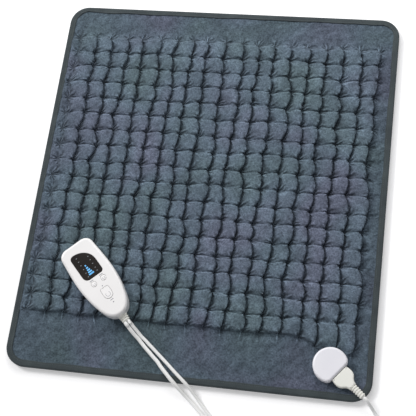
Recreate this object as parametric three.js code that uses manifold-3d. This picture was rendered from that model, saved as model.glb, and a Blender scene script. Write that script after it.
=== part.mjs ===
// Quilted heating pad with a handset, its pad lead and mains lead, and a pull-out connector.
// Millimetres, +Z up. Origin: centre of the pad's underside. X runs along the near edge, Y away from it.
import * as THREE from 'three';
import { mergeVertices } from 'three/addons/utils/BufferGeometryUtils.js';
import Module from 'manifold-3d';

const wasm = await Module();
wasm.setup();

// Clearances
const gap = 0.3; // between pieces that touch or seat
const weld = 0.001; // vertices closer than this are one
const overrun = 5; // how far a cutting body runs past what it cuts

// Pad outline and layers, from the floor up
const padWidth = 508;
const padDepth = 571.5;
const padCornerRadius = 28;
const bottomCoverThickness = 2;
const bottomCoverHem = 0.8; // its thickness where the binding wraps it
const carrierThickness = 0.6;
const carrierMargin = 20; // from the pad's outline
const wireDiameter = 1.8;
const battingThickness = 1.5;
const topCoverThickness = 1.2;

// Edge binding
const bindingWidth = 9;
const bindingThickness = 0.9;
const bindingEdgeRadius = 2;

// Quilting
const puffColumns = 18;
const puffRows = 17;
const quiltMarginLeft = 20.7; // from the pad's outline to the quilting, on each side
const quiltMarginRight = 30.1;
const quiltMarginNear = 78.65;
const quiltMarginFar = 54.25;
const puffRise = 6.7; // crown above the flat bands
const seamRise = 2.6; // middle of a cross seam above the flat bands
const pitDepth = 0.3; // seam crossings below the flat bands
const pressDepth = 2.7; // how far the handset sinks into the puffs
const pressMargin = 14; // puffs this far round the handset sink with it

// Heating wire and its fuses
const wireRuns = 17;
const wireEndMargin = 20; // from a run's turn to the end of the quilting
const wireReturnDrop = 14; // the return run below the quilting
const wireLeadSpacing = 8; // the two ends under the socket
const fuseLinkLength = 11;
const fuseLinkDiameter = 1.8;
const fuseLinkPitch = 60;

// Socket on the pad
const socketFromRight = 56.6; // its centre, from the pad's right edge
const socketFromNear = 43.75;
const socketTurn = THREE.MathUtils.degToRad(-39);
const socketRadius = 23.8;
const socketFlat = 15; // from the socket's centre to its flat side
const socketFlange = 3.1;
const socketLidHeight = 8.8;
const socketLidRound = 3;
const socketWall = 1.8;
const socketScrewRadius = 1.4;
const socketScrewHeadRadius = 2.8;
const socketScrewHead = 1.4;
const socketScrewReach = 5; // into the base
const socketScrewY = 13;
const backingRadius = 20;

// Connector on the pad lead
const connectorLift = 10; // underside above the floor, clear of the binding
const connectorHeight = 8.4;
const connectorLength = 26;
const connectorFrontHalf = 14.2;
const connectorCheekX = 11.7; // from its front, where its sides swell and close in
const connectorCheekHalf = 13.6;
const connectorWaistX = 18.7;
const connectorWaistHalf = 8.5;
const connectorNeckHalf = 5.4;
const connectorRound = 2.2;
const noseLength = 11.6;
const noseHalf = 10;
const noseHeight = 4.8;
const pinRadius = 1;
const pinPitch = 5.6;
const pinLength = 13;
const pinRoot = 5; // the part of a pin held in the base
const reliefLength = 18;
const reliefHalfWidth = 5.2;
const reliefHalfHeight = 4.2;
const reliefEndHalfWidth = 4.4;
const reliefEndHalfHeight = 3.7;
const reliefRibs = 5;
const ribDepth = 0.7;

// Handset
const handsetFromLeft = 76; // middle of its head edge
const handsetFromNear = 174.25;
const handsetTurn = THREE.MathUtils.degToRad(-47);
const handsetLength = 126;
const handsetHeight = 20;
const handsetHeadHalf = 26;
const handsetHalf = 28.6;
const bellyShare = 0.437; // of its length, where it is widest
const shoulderShare = 0.746;
const handsetShoulderHalf = 24.4;
const handsetFlare = 1; // how far the sides widen just behind the head
const handsetTaper = 2.9; // how far they close in just before the shoulder
const handsetTailHalf = 18.5; // how blunt the tail is
const handleShare = 0.33; // of each stretch of the outline's curves
const handsetCorner = 13;
const handsetRound = 4;
const handsetWall = 2.4;
const handsetSplit = 8; // height of the joint between the shells

// Display window and module
const windowHeadX = 15.4;
const windowTailShare = 0.468; // of the handset's length
const windowHalf = 15.1;
const windowArchShare = 0.302; // where the arch on its right side begins
const windowHeadCorner = 5.6;
const windowRightCorner = 4.5;
const windowLeftCorner = 8;
const lensThickness = 1.4;
const lensLedge = 1.3;
const moduleMargin = 2.8; // between the window's ends and the module's
const moduleHalf = 10.5;

// Circuit board and what it carries
const boardLift = 6;
const boardThickness = 1.6;
const boardMargin = 1.2;
const switchSide = 6;
const switchHeight = 3.6;
const plungerRadius = 1.75;
const plungerHeight = 1.5;
const chipSide = 10;
const chipThickness = 1.2;
const chipShare = 0.317; // of the handset's length
const fuseLength = 20;
const fuseRadius = 2.6;
const fuseShare = 0.58;
const relayLength = 12;
const relayHalf = 7;
const relayHeight = 8;
const relayFromTail = 24;

// Keys
const smallKeyWidth = 7.2;
const smallKeyLength = 7.6;
const smallKeyShare = 0.511; // of the handset's length, where the key starts
const leftKeyY = -7;
const rightKeyY = 9;
const powerKeyWidth = 12.8;
const powerKeyLength = 18;
const powerKeyShare = 0.639;
const powerKeyY = 1.2;
const keyCorner = 2.4;
const keyProud = 0.6;
const keyFlange = 1.2;
const keyFlangeThickness = 0.8;
const keyClearance = 0.35;
const keyStemRadius = 1.6;
const keyTravel = 0.6;
const keyStemGap = 0.2; // left between stem and switch at full travel

// Case screws
const screwHeadX = 10;
const screwFromTail = 20;
const screwHeadY = 17;
const screwTailY = 12;
const screwRadius = 1.2;
const screwHeadRadius = 2.5;
const screwHeadDepth = 2;
const screwLength = 12;
const bossRadius = 3.2;

// Cord gland at the handset's tail
const glandReach = 9.5; // beyond the tail
const glandInside = 5.9; // behind the tail's outer end
const glandFlange = 1.6;
const glandFlangeLip = 1.4;
const glandHalfWidth = 6.6;
const glandHalfHeight = 4;
const glandEndHalfWidth = 5.7;
const glandEndHalfHeight = 3.6;
const glandRibs = 3;

// Cords
const leadDiameter = 4.8;
const mainsDiameter = 5.4;
const cordSpacing = 5.5; // the two cords at the gland
const coilFromTailX = 122; // its centre, from the handset's tail
const coilFromTailY = -163.9;
const coilOuterRadius = 35.5;
const coilGap = 0.6; // between turns and between layers
const coilLayers = 4;
const coilTurns = 8.375;
const coilStart = THREE.MathUtils.degToRad(51);

// Routes of the cords over the pad and the floor, their places measured from the handset's tail
const mainsRoute = [
  [9.1, -13.6, 19], [14.2, -18.9, 16.4], [19.8, -24.1, 13.8], [25, -28.5, 12.2],
  [31.2, -34.6, 11.4], [37.1, -40.2, 11.2], [43.8, -46.2, 11.2], [49.5, -51.4, 11.2],
  [56.2, -57.2, 11.4], [61.6, -63.3, 11.9], [69.7, -71.3, 12.9], [77.9, -79.3, 13.1],
  [83.9, -84.7, 11.8], [92, -91.8, 8], [99.1, -97.6, 4.9], [107.1, -104.1, 3.2],
  [115.3, -111.4, 2.7], [127.1, -122.3, 2.7],
];
const leadRoute = [
  [12.6, -9.1, 19], [17.4, -14, 16.4], [23.1, -19.2, 13.6], [28.8, -24.6, 11.8],
  [34.9, -29.3, 11.2], [41.1, -34.5, 11.1], [47.3, -39.6, 11.1], [55, -46, 11.1],
  [62.6, -52.3, 11.2], [72.6, -60.7, 11.9], [81.1, -68.1, 12.7], [90.2, -75.6, 13],
  [98.1, -82.1, 12.3], [105, -88.2, 9.3], [111.7, -95, 5.7], [118.6, -102.4, 3.2],
  [126, -110.6, 2.5], [135.3, -119.9, 2.4], [146.6, -128.9, 2.4],
];
// The lead's way back over the floor, measured from the socket
const leadReturn = [
  [-113.4, -116, 2.4], [-79.4, -142, 2.4], [-45.4, -160, 2.4], [-7.4, -168, 2.4],
  [30.6, -163, 2.4], [60.6, -148, 2.4], [81.6, -124, 2.4], [87.6, -96, 2.4],
  [79.6, -74, 2.4], [65.1, -58, 2.6], [61, -52.9, 4.2], [56.8, -47.8, 8],
];
const plugRoute = [
  [111.8, -200.6, 20.2], [105.8, -201.2, 19.3], [97.9, -202, 16.3], [89.9, -202.9, 12.4],
  [81.9, -203.7, 9.6],
];

// Plug
const plugFromTailX = 66; // its cord side, from the handset's tail
const plugFromTailY = -205.4;
const plugTurn = THREE.MathUtils.degToRad(186);
const plugHeight = 17;
const plugWidth = 25;
const plugLength = 30;
const plugCorner = 7;
const plugRound = 4;
const plugReliefLength = 24;
const plugReliefRadius = 5;
const plugReliefEndRadius = 3.4;
const plugReliefRibs = 6;
const bladeLength = 17;
const bladeWidth = 6.35;
const bladeThickness = 1.5;
const bladeSpacing = 12.7;
const bladeRoot = 6; // the part held in the plug

// Facets
const roundSides = 24;
const smallSides = 12;
const cordSides = 8;
const coilSides = 6;
const coilSteps = 24;
const mainsSteps = 18;
const leadSteps = 58;
const plugSteps = 6;
const bevelSteps = 2;
const curveSteps = 3; // divisions of a curve, two steps each on an arc
const padCornerSteps = 3;
const wireTurnSteps = 4;

// Places worked out from the pad's edges and the handset's length
const [padHalfWidth, padHalfDepth] = [padWidth / 2, padDepth / 2];
const puffPitchX = (padWidth - quiltMarginLeft - quiltMarginRight) / puffColumns;
const puffPitchY = (padDepth - quiltMarginNear - quiltMarginFar) / puffRows;
const quiltLeft = quiltMarginLeft - padHalfWidth;
const quiltRight = padHalfWidth - quiltMarginRight;
const quiltNear = quiltMarginNear - padHalfDepth;
const quiltFar = padHalfDepth - quiltMarginFar;
const socketX = padHalfWidth - socketFromRight;
const socketY = socketFromNear - padHalfDepth;
const handsetX = handsetFromLeft - padHalfWidth;
const handsetY = handsetFromNear - padHalfDepth;
const handsetBellyX = bellyShare * handsetLength;
const handsetShoulderX = shoulderShare * handsetLength;
const windowTailX = windowTailShare * handsetLength;
const windowArchX = windowArchShare * handsetLength;
const chipX = chipShare * handsetLength;
const fuseX = fuseShare * handsetLength;
const relayX = handsetLength - relayFromTail;
const smallKeyX = smallKeyShare * handsetLength;
const powerKeyX = powerKeyShare * handsetLength;
const screwTailX = handsetLength - screwFromTail;
const tailX = handsetX + handsetLength * Math.cos(handsetTurn);
const tailY = handsetY + handsetLength * Math.sin(handsetTurn);
const [coilX, coilY] = [tailX + coilFromTailX, tailY + coilFromTailY];
const [plugX, plugY] = [tailX + plugFromTailX, tailY + plugFromTailY];

// Heights worked out from the layers
const carrierZ = bottomCoverThickness + gap;
const wireZ = carrierZ + carrierThickness + gap;
const battingZ = wireZ + wireDiameter + gap;
const topCoverZ = battingZ + battingThickness + gap;
const bandZ = topCoverZ + topCoverThickness;
const bindingTopZ = bandZ + gap + bindingThickness;
const crownZ = bandZ + puffRise;
const pressedZ = crownZ - pressDepth;
const handsetZ = pressedZ + gap;
const socketZ = bandZ + gap;
const socketLidZ = socketZ + socketFlange + gap;
const connectorMidZ = connectorLift + connectorHeight / 2;

// Finishes
const finish = (color, roughness, metalness = 0) =>
  new THREE.MeshStandardMaterial({ color, roughness, metalness });
const plush = finish('#4a5866', 0.95);
const tape = finish('#3f4644', 0.9);
const backing = finish('#3c4650', 0.95);
const felt = finish('#b9b7ae', 0.95);
const fill = finish('#e6e4dc', 1);
const wireCover = finish('#c23a2c', 0.5);
const whitePlastic = finish('#eeedf0', 0.35);
const ivoryPlastic = finish('#e9eae2', 0.4);
const cordPlastic = finish('#ecece6', 0.45);
const smokedLens = finish('#15130f', 0.08);
const greyPlastic = finish('#8b9096', 0.6);
const boardGreen = finish('#2c6b45', 0.6);
const blackPlastic = finish('#1d1e20', 0.5);
const glassTube = finish('#cfd6d8', 0.1);
const relayBlue = finish('#2a5f9e', 0.5);
const steel = finish('#b8bbbe', 0.3, 1);
const brass = finish('#c9a557', 0.3, 1);

const part = new THREE.Group();
const handset = new THREE.Group();
handset.position.set(handsetX, handsetY, handsetZ);
handset.rotation.z = handsetTurn;
const socket = new THREE.Group();
socket.position.set(socketX, socketY, 0);
socket.rotation.z = socketTurn;
part.add(handset, socket);

// Solids: closed geometry in, closed geometry out
function solid(geometry) {
  const bare = geometry.clone();
  bare.deleteAttribute('normal');
  bare.deleteAttribute('uv');
  const merged = mergeVertices(bare, weld);
  const vertProperties = merged.attributes.position.array;
  const triVerts = Uint32Array.from(merged.index.array);
  return new wasm.Manifold(new wasm.Mesh({ numProp: 3, vertProperties, triVerts }));
}

function add(group, name, shape, material) {
  const { vertProperties, triVerts } = shape.getMesh();
  const geometry = new THREE.BufferGeometry();
  geometry.setAttribute('position', new THREE.BufferAttribute(vertProperties, 3));
  geometry.setIndex(new THREE.BufferAttribute(triVerts, 1));
  const mesh = new THREE.Mesh(geometry, material);
  mesh.name = name;
  group.add(mesh);
}

// An outline raised from one height to another.
function prism(outline, low, high, curveSegments = curveSteps) {
  const depth = high - low;
  const raised = new THREE.ExtrudeGeometry(outline, { depth, bevelEnabled: false, curveSegments });
  return solid(raised.translate(0, 0, low));
}

// The same with round edges top and bottom.
function roundPrism(outline, low, high, radius, curveSegments = curveSteps) {
  const raised = new THREE.ExtrudeGeometry(outline, {
    depth: high - low - 2 * radius,
    bevelThickness: radius,
    bevelSize: radius,
    bevelOffset: -radius,
    bevelSegments: bevelSteps,
    curveSegments,
  });
  return solid(raised.translate(0, 0, low + radius));
}

function box(lowX, highX, lowY, highY, lowZ, highZ) {
  const brick = new THREE.BoxGeometry(highX - lowX, highY - lowY, highZ - lowZ);
  return solid(brick.translate((lowX + highX) / 2, (lowY + highY) / 2, (lowZ + highZ) / 2));
}

function post(x, y, radius, low, high, sides = smallSides) {
  const pillar = new THREE.CylinderGeometry(radius, radius, high - low, sides);
  return solid(pillar.rotateX(Math.PI / 2).translate(x, y, (low + high) / 2));
}

// What is left of a shape above or below a height.
function cutAway(shape, lowZ, highZ) {
  const { min, max } = shape.boundingBox();
  const [lowX, lowY] = [min[0] - overrun, min[1] - overrun];
  const [highX, highY] = [max[0] + overrun, max[1] + overrun];
  return shape.subtract(box(lowX, highX, lowY, highY, lowZ, highZ));
}

const above = (shape, z) => cutAway(shape, shape.boundingBox().min[2] - overrun, z);
const below = (shape, z) => cutAway(shape, z, shape.boundingBox().max[2] + overrun);
const joined = (shapes) => shapes.reduce((all, shape) => all.add(shape));

// An outline drawn in all round by a distance.
function drawnIn(outline, inset) {
  const centre = new THREE.Vector2();
  const points = outline.getPoints(curveSteps)
    .filter((point, index, all) => point.distanceTo(all.at(index - 1)) > weld);
  const inward = (from, to) => to.clone().sub(from).normalize().rotateAround(centre, Math.PI / 2);
  return new THREE.Shape(points.map((point, index) => {
    const before = inward(points.at(index - 1), point);
    const after = inward(point, points[(index + 1) % points.length]);
    const mean = before.clone().add(after).normalize();
    return point.clone().addScaledVector(mean, inset / mean.dot(before));
  }));
}

// A rod along X.
function rod(lowX, highX, y, z, radius, sides = smallSides) {
  const bar = new THREE.CylinderGeometry(radius, radius, highX - lowX, sides);
  return solid(bar.rotateZ(Math.PI / 2).translate((lowX + highX) / 2, y, z));
}

function roundedRectangle(width, depth, radius) {
  const halfWidth = width / 2;
  const halfDepth = depth / 2;
  const outline = new THREE.Shape();
  outline.moveTo(halfWidth, radius - halfDepth);
  outline.absarc(halfWidth - radius, halfDepth - radius, radius, 0, Math.PI / 2);
  outline.absarc(radius - halfWidth, halfDepth - radius, radius, Math.PI / 2, Math.PI);
  outline.absarc(radius - halfWidth, radius - halfDepth, radius, Math.PI, 1.5 * Math.PI);
  outline.absarc(halfWidth - radius, radius - halfDepth, radius, 1.5 * Math.PI, 2 * Math.PI);
  return outline;
}

const padOutline = (inset) =>
  roundedRectangle(padWidth - 2 * inset, padDepth - 2 * inset, padCornerRadius - inset);
const innerEdge = bindingEdgeRadius + gap; // where the layers stop, inside the binding
const padLayer = (inset, low, high) => prism(padOutline(inset), low, high, padCornerSteps);

// A skin through rings of equal count. Each ring turns counterclockwise about the way the rings advance.
function skin(rings, closed) {
  const sides = rings[0].length;
  const last = rings.length - 1;
  const faces = [];
  for (let ring = 0; ring < (closed ? rings.length : last); ring++) {
    const next = (ring + 1) % rings.length;
    for (let side = 0; side < sides; side++) {
      const across = (side + 1) % sides;
      const [a, b] = [ring * sides + side, ring * sides + across];
      const [c, d] = [next * sides + across, next * sides + side];
      faces.push(a, b, c, a, c, d);
    }
  }
  for (let side = 1; side + 1 < sides && !closed; side++) {
    faces.push(0, side + 1, side);
    faces.push(last * sides, last * sides + side, last * sides + side + 1);
  }
  const geometry = new THREE.BufferGeometry();
  geometry.setAttribute('position', new THREE.Float32BufferAttribute(rings.flat().flatMap((p) => [...p]), 3));
  geometry.setIndex(faces);
  return solid(geometry);
}

const ellipse = (x, y, z, halfWidth, halfHeight, sides = roundSides) =>
  Array.from({ length: sides }, (_, side) => {
    const turn = (2 * Math.PI * side) / sides;
    return new THREE.Vector3(x, y + halfWidth * Math.cos(turn), z + halfHeight * Math.sin(turn));
  });

// Ribs round a tapering core along X: each rib is a full-size band, with a groove of ribDepth after it.
function ribs(startX, length, count, start, end, z) {
  const rings = [];
  for (let rib = 0; rib < count; rib++) {
    for (const [stepShare, depth] of [[0, 0], [0.5, 0], [0.6, ribDepth], [0.9, ribDepth]]) {
      const along = (rib + stepShare) / count;
      const halfWidth = THREE.MathUtils.lerp(start[0], end[0], along) - depth;
      const halfHeight = THREE.MathUtils.lerp(start[1], end[1], along) - depth;
      rings.push(ellipse(startX + along * length, 0, z, halfWidth, halfHeight, smallSides));
    }
  }
  rings.push(ellipse(startX + length, 0, z, end[0] - ribDepth, end[1] - ribDepth, smallSides));
  return rings;
}

// A tube along points, its rings carried from one to the next without twist.
function tube(points, radius, sides) {
  const rings = [];
  let normal = new THREE.Vector3(0, 0, 1);
  points.forEach((point, index) => {
    const before = points[Math.max(index - 1, 0)];
    const after = points[Math.min(index + 1, points.length - 1)];
    const along = after.clone().sub(before).normalize();
    normal = normal.clone().addScaledVector(along, -normal.dot(along)).normalize();
    const side = along.clone().cross(normal);
    const ring = [];
    for (let corner = 0; corner < sides; corner++) {
      const turn = (2 * Math.PI * (corner + 0.5)) / sides;
      const out = normal.clone().multiplyScalar(Math.cos(turn)).addScaledVector(side, Math.sin(turn));
      ring.push(point.clone().addScaledVector(out, radius));
    }
    rings.push(ring);
  });
  return skin(rings, false);
}

// Edge binding: a C section carried round the pad's outline.
function bindingRing() {
  const wall = bindingThickness;
  const round = bindingEdgeRadius;
  const nick = round * (1 - Math.SQRT1_2);
  const top = bindingTopZ;
  const section = [
    [bindingWidth, wall], [round, wall], [wall, round], [wall, top - round], [round, top - wall],
    [bindingWidth, top - wall], [bindingWidth, top], [round, top], [nick, top - nick],
    [0, top - round], [0, round], [nick, nick], [round, 0], [bindingWidth, 0],
  ];
  const rings = [];
  for (let corner = 0; corner < 4; corner++) {
    const centreX = (padWidth / 2 - padCornerRadius) * [1, -1, -1, 1][corner];
    const centreY = (padDepth / 2 - padCornerRadius) * [1, 1, -1, -1][corner];
    for (let step = 0; step <= 2 * padCornerSteps; step++) {
      const turn = (Math.PI / 2) * (corner + step / (2 * padCornerSteps));
      rings.push(section.map(([inset, z]) => {
        const radius = padCornerRadius - inset;
        return new THREE.Vector3(centreX + radius * Math.cos(turn), centreY + radius * Math.sin(turn), z);
      }));
    }
  }
  return skin(rings, true);
}

// Top cover: flat bands round a grid of puffs, each a crown, four sunk corners and two raised cross seams.
function quiltedCover() {
  const positions = [];
  const faces = [];
  const put = (x, y, z) => positions.push(x, y, z) / 3 - 1;
  const cosTurn = Math.cos(handsetTurn);
  const sinTurn = Math.sin(handsetTurn);
  const underHandset = (x, y) => {
    const along = (x - handsetX) * cosTurn + (y - handsetY) * sinTurn;
    const across = (y - handsetY) * cosTurn - (x - handsetX) * sinTurn;
    const inLength = along > -pressMargin && along < handsetLength + pressMargin;
    return inLength && Math.abs(across) < handsetHalf + pressMargin;
  };
  const corners = [];
  const seams = [];
  for (let row = 0; row <= puffRows; row++) {
    const y = quiltNear + row * puffPitchY;
    const onEdge = row === 0 || row === puffRows;
    corners.push([]);
    seams.push([]);
    for (let column = 0; column <= puffColumns; column++) {
      const sideEdge = column === 0 || column === puffColumns;
      const z = onEdge || sideEdge ? bandZ : bandZ - pitDepth;
      corners[row].push(put(quiltLeft + column * puffPitchX, y, z));
    }
    for (let column = 0; column < puffColumns; column++) {
      seams[row].push(put(quiltLeft + (column + 0.5) * puffPitchX, y, onEdge ? bandZ : bandZ + seamRise));
    }
  }
  for (let row = 0; row < puffRows; row++) {
    for (let column = 0; column < puffColumns; column++) {
      const x = quiltLeft + (column + 0.5) * puffPitchX;
      const y = quiltNear + (row + 0.5) * puffPitchY;
      const crown = put(x, y, underHandset(x, y) ? pressedZ : crownZ);
      const loop = [
        corners[row][column], seams[row][column], corners[row][column + 1],
        corners[row + 1][column + 1], seams[row + 1][column], corners[row + 1][column],
      ];
      loop.forEach((from, index) => faces.push(from, loop[(index + 1) % loop.length], crown));
    }
  }
  // The grid's own edge, counterclockwise.
  const edge = [];
  for (let column = 0; column < puffColumns; column++) edge.push(corners[0][column], seams[0][column]);
  for (let row = 0; row < puffRows; row++) edge.push(corners[row][puffColumns]);
  for (let column = puffColumns; column > 0; column--) {
    edge.push(corners[puffRows][column], seams[puffRows][column - 1]);
  }
  for (let row = puffRows; row > 0; row--) edge.push(corners[row][0]);

  const rim = padOutline(innerEdge).getPoints(padCornerSteps).slice(0, -1);
  const rimTop = rim.map((p) => put(p.x, p.y, bandZ));
  const rimLow = rim.map((p) => put(p.x, p.y, topCoverZ));
  const flat = (index) => new THREE.Vector2(positions[3 * index], positions[3 * index + 1]);
  const hole = [...edge].reverse();
  const bandPoints = [...rimTop, ...hole];
  for (const triangle of THREE.ShapeUtils.triangulateShape(rimTop.map(flat), [hole.map(flat)])) {
    faces.push(...triangle.map((corner) => bandPoints[corner]));
  }
  for (const triangle of THREE.ShapeUtils.triangulateShape(rimLow.map(flat), [])) {
    const [a, b, c] = triangle.map((corner) => rimLow[corner]);
    faces.push(a, c, b);
  }
  rimTop.forEach((top, index) => {
    const next = (index + 1) % rimTop.length;
    faces.push(rimLow[index], rimLow[next], rimTop[next], rimLow[index], rimTop[next], top);
  });
  const geometry = new THREE.BufferGeometry();
  geometry.setAttribute('position', new THREE.Float32BufferAttribute(positions, 3));
  geometry.setIndex(faces);
  return solid(geometry);
}

// Heating wire: runs up and down the pad, half turns between them, and both ends under the socket.
const wirePitch = puffPitchX;
const wireTurnRadius = wirePitch / 2;
const wireFirstX = (quiltLeft + quiltRight + (wireRuns - 1) * wirePitch) / 2;
const wireReturnY = quiltNear - wireReturnDrop;

function heatingWirePath() {
  const z = wireZ + wireDiameter / 2;
  const far = quiltFar - wireEndMargin;
  const near = quiltNear + wireEndMargin;
  const lastX = wireFirstX - (wireRuns - 1) * wirePitch;
  const points = [];
  const put = (x, y) => points.push(new THREE.Vector3(x, y, z));
  put(socketX, socketY);
  put(socketX, wireReturnY);
  put(wireFirstX, near);
  for (let run = 0; run + 1 < wireRuns; run++) {
    const upward = run % 2 === 0;
    for (let step = 0; step <= wireTurnSteps; step++) {
      const turn = (Math.PI * step) / wireTurnSteps;
      const swing = wireTurnRadius * Math.sin(turn) * (upward ? 1 : -1);
      const x = wireFirstX - run * wirePitch - wireTurnRadius * (1 - Math.cos(turn));
      put(x, (upward ? far : near) + swing);
    }
  }
  put(lastX, far);
  put(lastX - wireTurnRadius, far);
  put(lastX - wireTurnRadius, wireReturnY);
  put(socketX - wireLeadSpacing, wireReturnY);
  put(socketX - wireLeadSpacing, socketY);
  return points;
}

// The pad from the floor up
const bottomCover = padLayer(innerEdge, bottomCoverThickness - bottomCoverHem, bottomCoverThickness)
  .add(padLayer(bindingWidth + gap, 0, bottomCoverThickness));
add(part, 'bottom_cover', bottomCover, backing);
add(part, 'heater_carrier', padLayer(carrierMargin, carrierZ, carrierZ + carrierThickness), felt);
add(part, 'heating_wire', tube(heatingWirePath(), wireDiameter / 2, coilSides), wireCover);
for (const side of [0, 1]) {
  const endX = socketX - socketRadius - side * fuseLinkPitch;
  const linkY = wireReturnY - wireDiameter / 2 - gap - fuseLinkDiameter / 2;
  const link = rod(endX - fuseLinkLength, endX, linkY, wireZ + fuseLinkDiameter / 2, fuseLinkDiameter / 2);
  add(part, `thermal_fuse_${side + 1}`, link, steel);
}
const battingTopZ = battingZ + battingThickness;
const plateHoleRadius = backingRadius + gap;
const [plateHoleLow, plateHoleHigh] = [battingZ - overrun, battingTopZ + overrun];
const plateHole = post(socketX, socketY, plateHoleRadius, plateHoleLow, plateHoleHigh, roundSides);
add(part, 'batting', padLayer(innerEdge, battingZ, battingTopZ).subtract(plateHole), fill);
add(part, 'edge_binding', bindingRing(), tape);

const socketScrewPlaces = [[0, socketScrewY], [0, -socketScrewY]];
const posts = (places, radius, lowZ, highZ) =>
  joined(places.map(([x, y]) => post(x, y, radius, lowZ, highZ)));
const placesOnPad = socketScrewPlaces.map(([x, y]) => {
  const place = new THREE.Vector2(x, y).rotateAround(new THREE.Vector2(), socketTurn);
  return [place.x + socketX, place.y + socketY];
});
const screwHoleRadius = socketScrewRadius + gap;
const coverHoles = posts(placesOnPad, screwHoleRadius, topCoverZ - overrun, bandZ + overrun);
add(part, 'top_cover', quiltedCover().subtract(coverHoles), plush);

// Socket: a round housing with one flat side, screwed through the cover to a plate inside the pad
function socketOutline(inset = 0) {
  const radius = socketRadius - inset;
  const open = Math.acos((socketFlat - inset) / radius);
  const outline = new THREE.Shape();
  outline.absarc(0, 0, radius, open, 2 * Math.PI - open);
  return outline;
}

const plate = post(0, 0, backingRadius, battingZ, battingTopZ, roundSides)
  .subtract(posts(socketScrewPlaces, screwHoleRadius, battingZ - overrun, battingTopZ + overrun));
add(socket, 'socket_backing_plate', plate, greyPlastic);
socketScrewPlaces.forEach(([x, y], index) => {
  const headTopZ = battingZ - gap;
  const head = post(x, y, socketScrewHeadRadius, headTopZ - socketScrewHead, headTopZ);
  const shank = post(x, y, socketScrewRadius, headTopZ - socketScrewHead / 2, socketZ + socketScrewReach);
  add(socket, `socket_screw_${index + 1}`, head.add(shank), steel);
});

const lidTopZ = socketLidZ + socketLidHeight;
const connectorFrontX = socketFlat + gap;
const noseTipX = connectorFrontX - noseLength;
const pinStartX = noseTipX - gap - pinRoot;
const pinEndX = pinStartX + pinLength;
const pinYs = [-pinPitch, 0, pinPitch];
const pinRods = (radius, lowX, highX) => joined(pinYs.map((y) => rod(lowX, highX, y, connectorMidZ, radius)));
const noseBlock = (lowX, highX, around) => box(
  lowX, highX, -noseHalf - around, noseHalf + around,
  connectorMidZ - noseHeight / 2 - around, connectorMidZ + noseHeight / 2 + around,
);
const noseRecess = noseBlock(noseTipX - gap, connectorFrontX + overrun, gap);
const arcSteps = roundSides / 2;
const coreOutline = socketOutline(socketWall + gap);
const coreTopZ = lidTopZ - socketWall - gap;
const socketBase = prism(socketOutline(), socketZ, socketZ + socketFlange, arcSteps)
  .add(prism(coreOutline, socketZ + socketFlange / 2, coreTopZ, arcSteps))
  .subtract(noseRecess)
  .subtract(pinRods(pinRadius + gap, pinStartX - gap, socketFlat))
  .subtract(posts(socketScrewPlaces, screwHoleRadius, socketZ - overrun, socketZ + socketScrewReach + gap));
add(socket, 'socket_base', socketBase, whitePlastic);
const lidCavity = prism(socketOutline(socketWall), socketLidZ - overrun, lidTopZ - socketWall, arcSteps);
const lidBlock = above(roundPrism(socketOutline(), socketZ, lidTopZ, socketLidRound, arcSteps), socketLidZ);
add(socket, 'socket_lid', lidBlock.subtract(lidCavity).subtract(noseRecess), whitePlastic);
pinYs.forEach((y, index) => {
  add(socket, `socket_pin_${index + 1}`, rod(pinStartX, pinEndX, y, connectorMidZ, pinRadius), brass);
});

// Connector: slides out of the socket along +X
function connectorOutline() {
  const endX = connectorFrontX + connectorLength;
  const cheekX = connectorFrontX + connectorCheekX;
  const waistX = connectorFrontX + connectorWaistX;
  const cheek = connectorCheekHalf;
  const waist = connectorWaistHalf;
  const outline = new THREE.Shape();
  outline.moveTo(connectorFrontX, -connectorFrontHalf);
  outline.bezierCurveTo(cheekX, -cheek, waistX, -waist, endX, -connectorNeckHalf);
  outline.lineTo(endX, connectorNeckHalf);
  outline.bezierCurveTo(waistX, waist, cheekX, cheek, connectorFrontX, connectorFrontHalf);
  return outline;
}

const connectorTopZ = connectorLift + connectorHeight;
const connectorBody = roundPrism(connectorOutline(), connectorLift, connectorTopZ, connectorRound)
  .add(noseBlock(noseTipX, connectorFrontX + connectorRound, 0))
  .subtract(pinRods(pinRadius + gap, noseTipX - overrun, pinEndX + gap));
add(socket, 'connector_body', connectorBody, ivoryPlastic);
const reliefX = connectorFrontX + connectorLength + gap;
const reliefRings = ribs(reliefX, reliefLength, reliefRibs, [reliefHalfWidth, reliefHalfHeight],
  [reliefEndHalfWidth, reliefEndHalfHeight], connectorMidZ);
add(socket, 'connector_strain_relief', skin(reliefRings, false), ivoryPlastic);

// Handset shells
function handsetOutline() {
  const stretches = [
    [[handsetCorner, handsetHeadHalf], handsetFlare],
    [[handsetBellyX, handsetHalf], 0],
    [[handsetShoulderX, handsetShoulderHalf], -handsetTaper],
  ];
  const side = [];
  stretches.forEach(([[x, y], rise], index) => {
    const before = index > 0 ? stretches[index - 1][0][0] : x;
    const after = index + 1 < stretches.length ? stretches[index + 1][0][0] : handsetLength;
    if (index > 0) side.push([x - handleShare * (x - before), y - rise]);
    side.push([x, y], [x + handleShare * (after - x), y + rise]);
  });
  side.push([handsetLength, handsetTailHalf], [handsetLength, 0]);
  const outline = new THREE.Shape();
  const headStraight = handsetHeadHalf - handsetCorner;
  outline.moveTo(side[0][0], -side[0][1]);
  for (let at = 0; at + 3 < side.length; at += 3) {
    const [first, second, end] = side.slice(at + 1, at + 4);
    outline.bezierCurveTo(first[0], -first[1], second[0], -second[1], end[0], -end[1]);
  }
  for (let at = side.length - 1; at > 0; at -= 3) {
    outline.bezierCurveTo(...side[at - 1], ...side[at - 2], ...side[at - 3]);
  }
  outline.absarc(handsetCorner, headStraight, handsetCorner, Math.PI / 2, Math.PI);
  outline.absarc(handsetCorner, -headStraight, handsetCorner, Math.PI, 1.5 * Math.PI);
  return outline;
}

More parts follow.
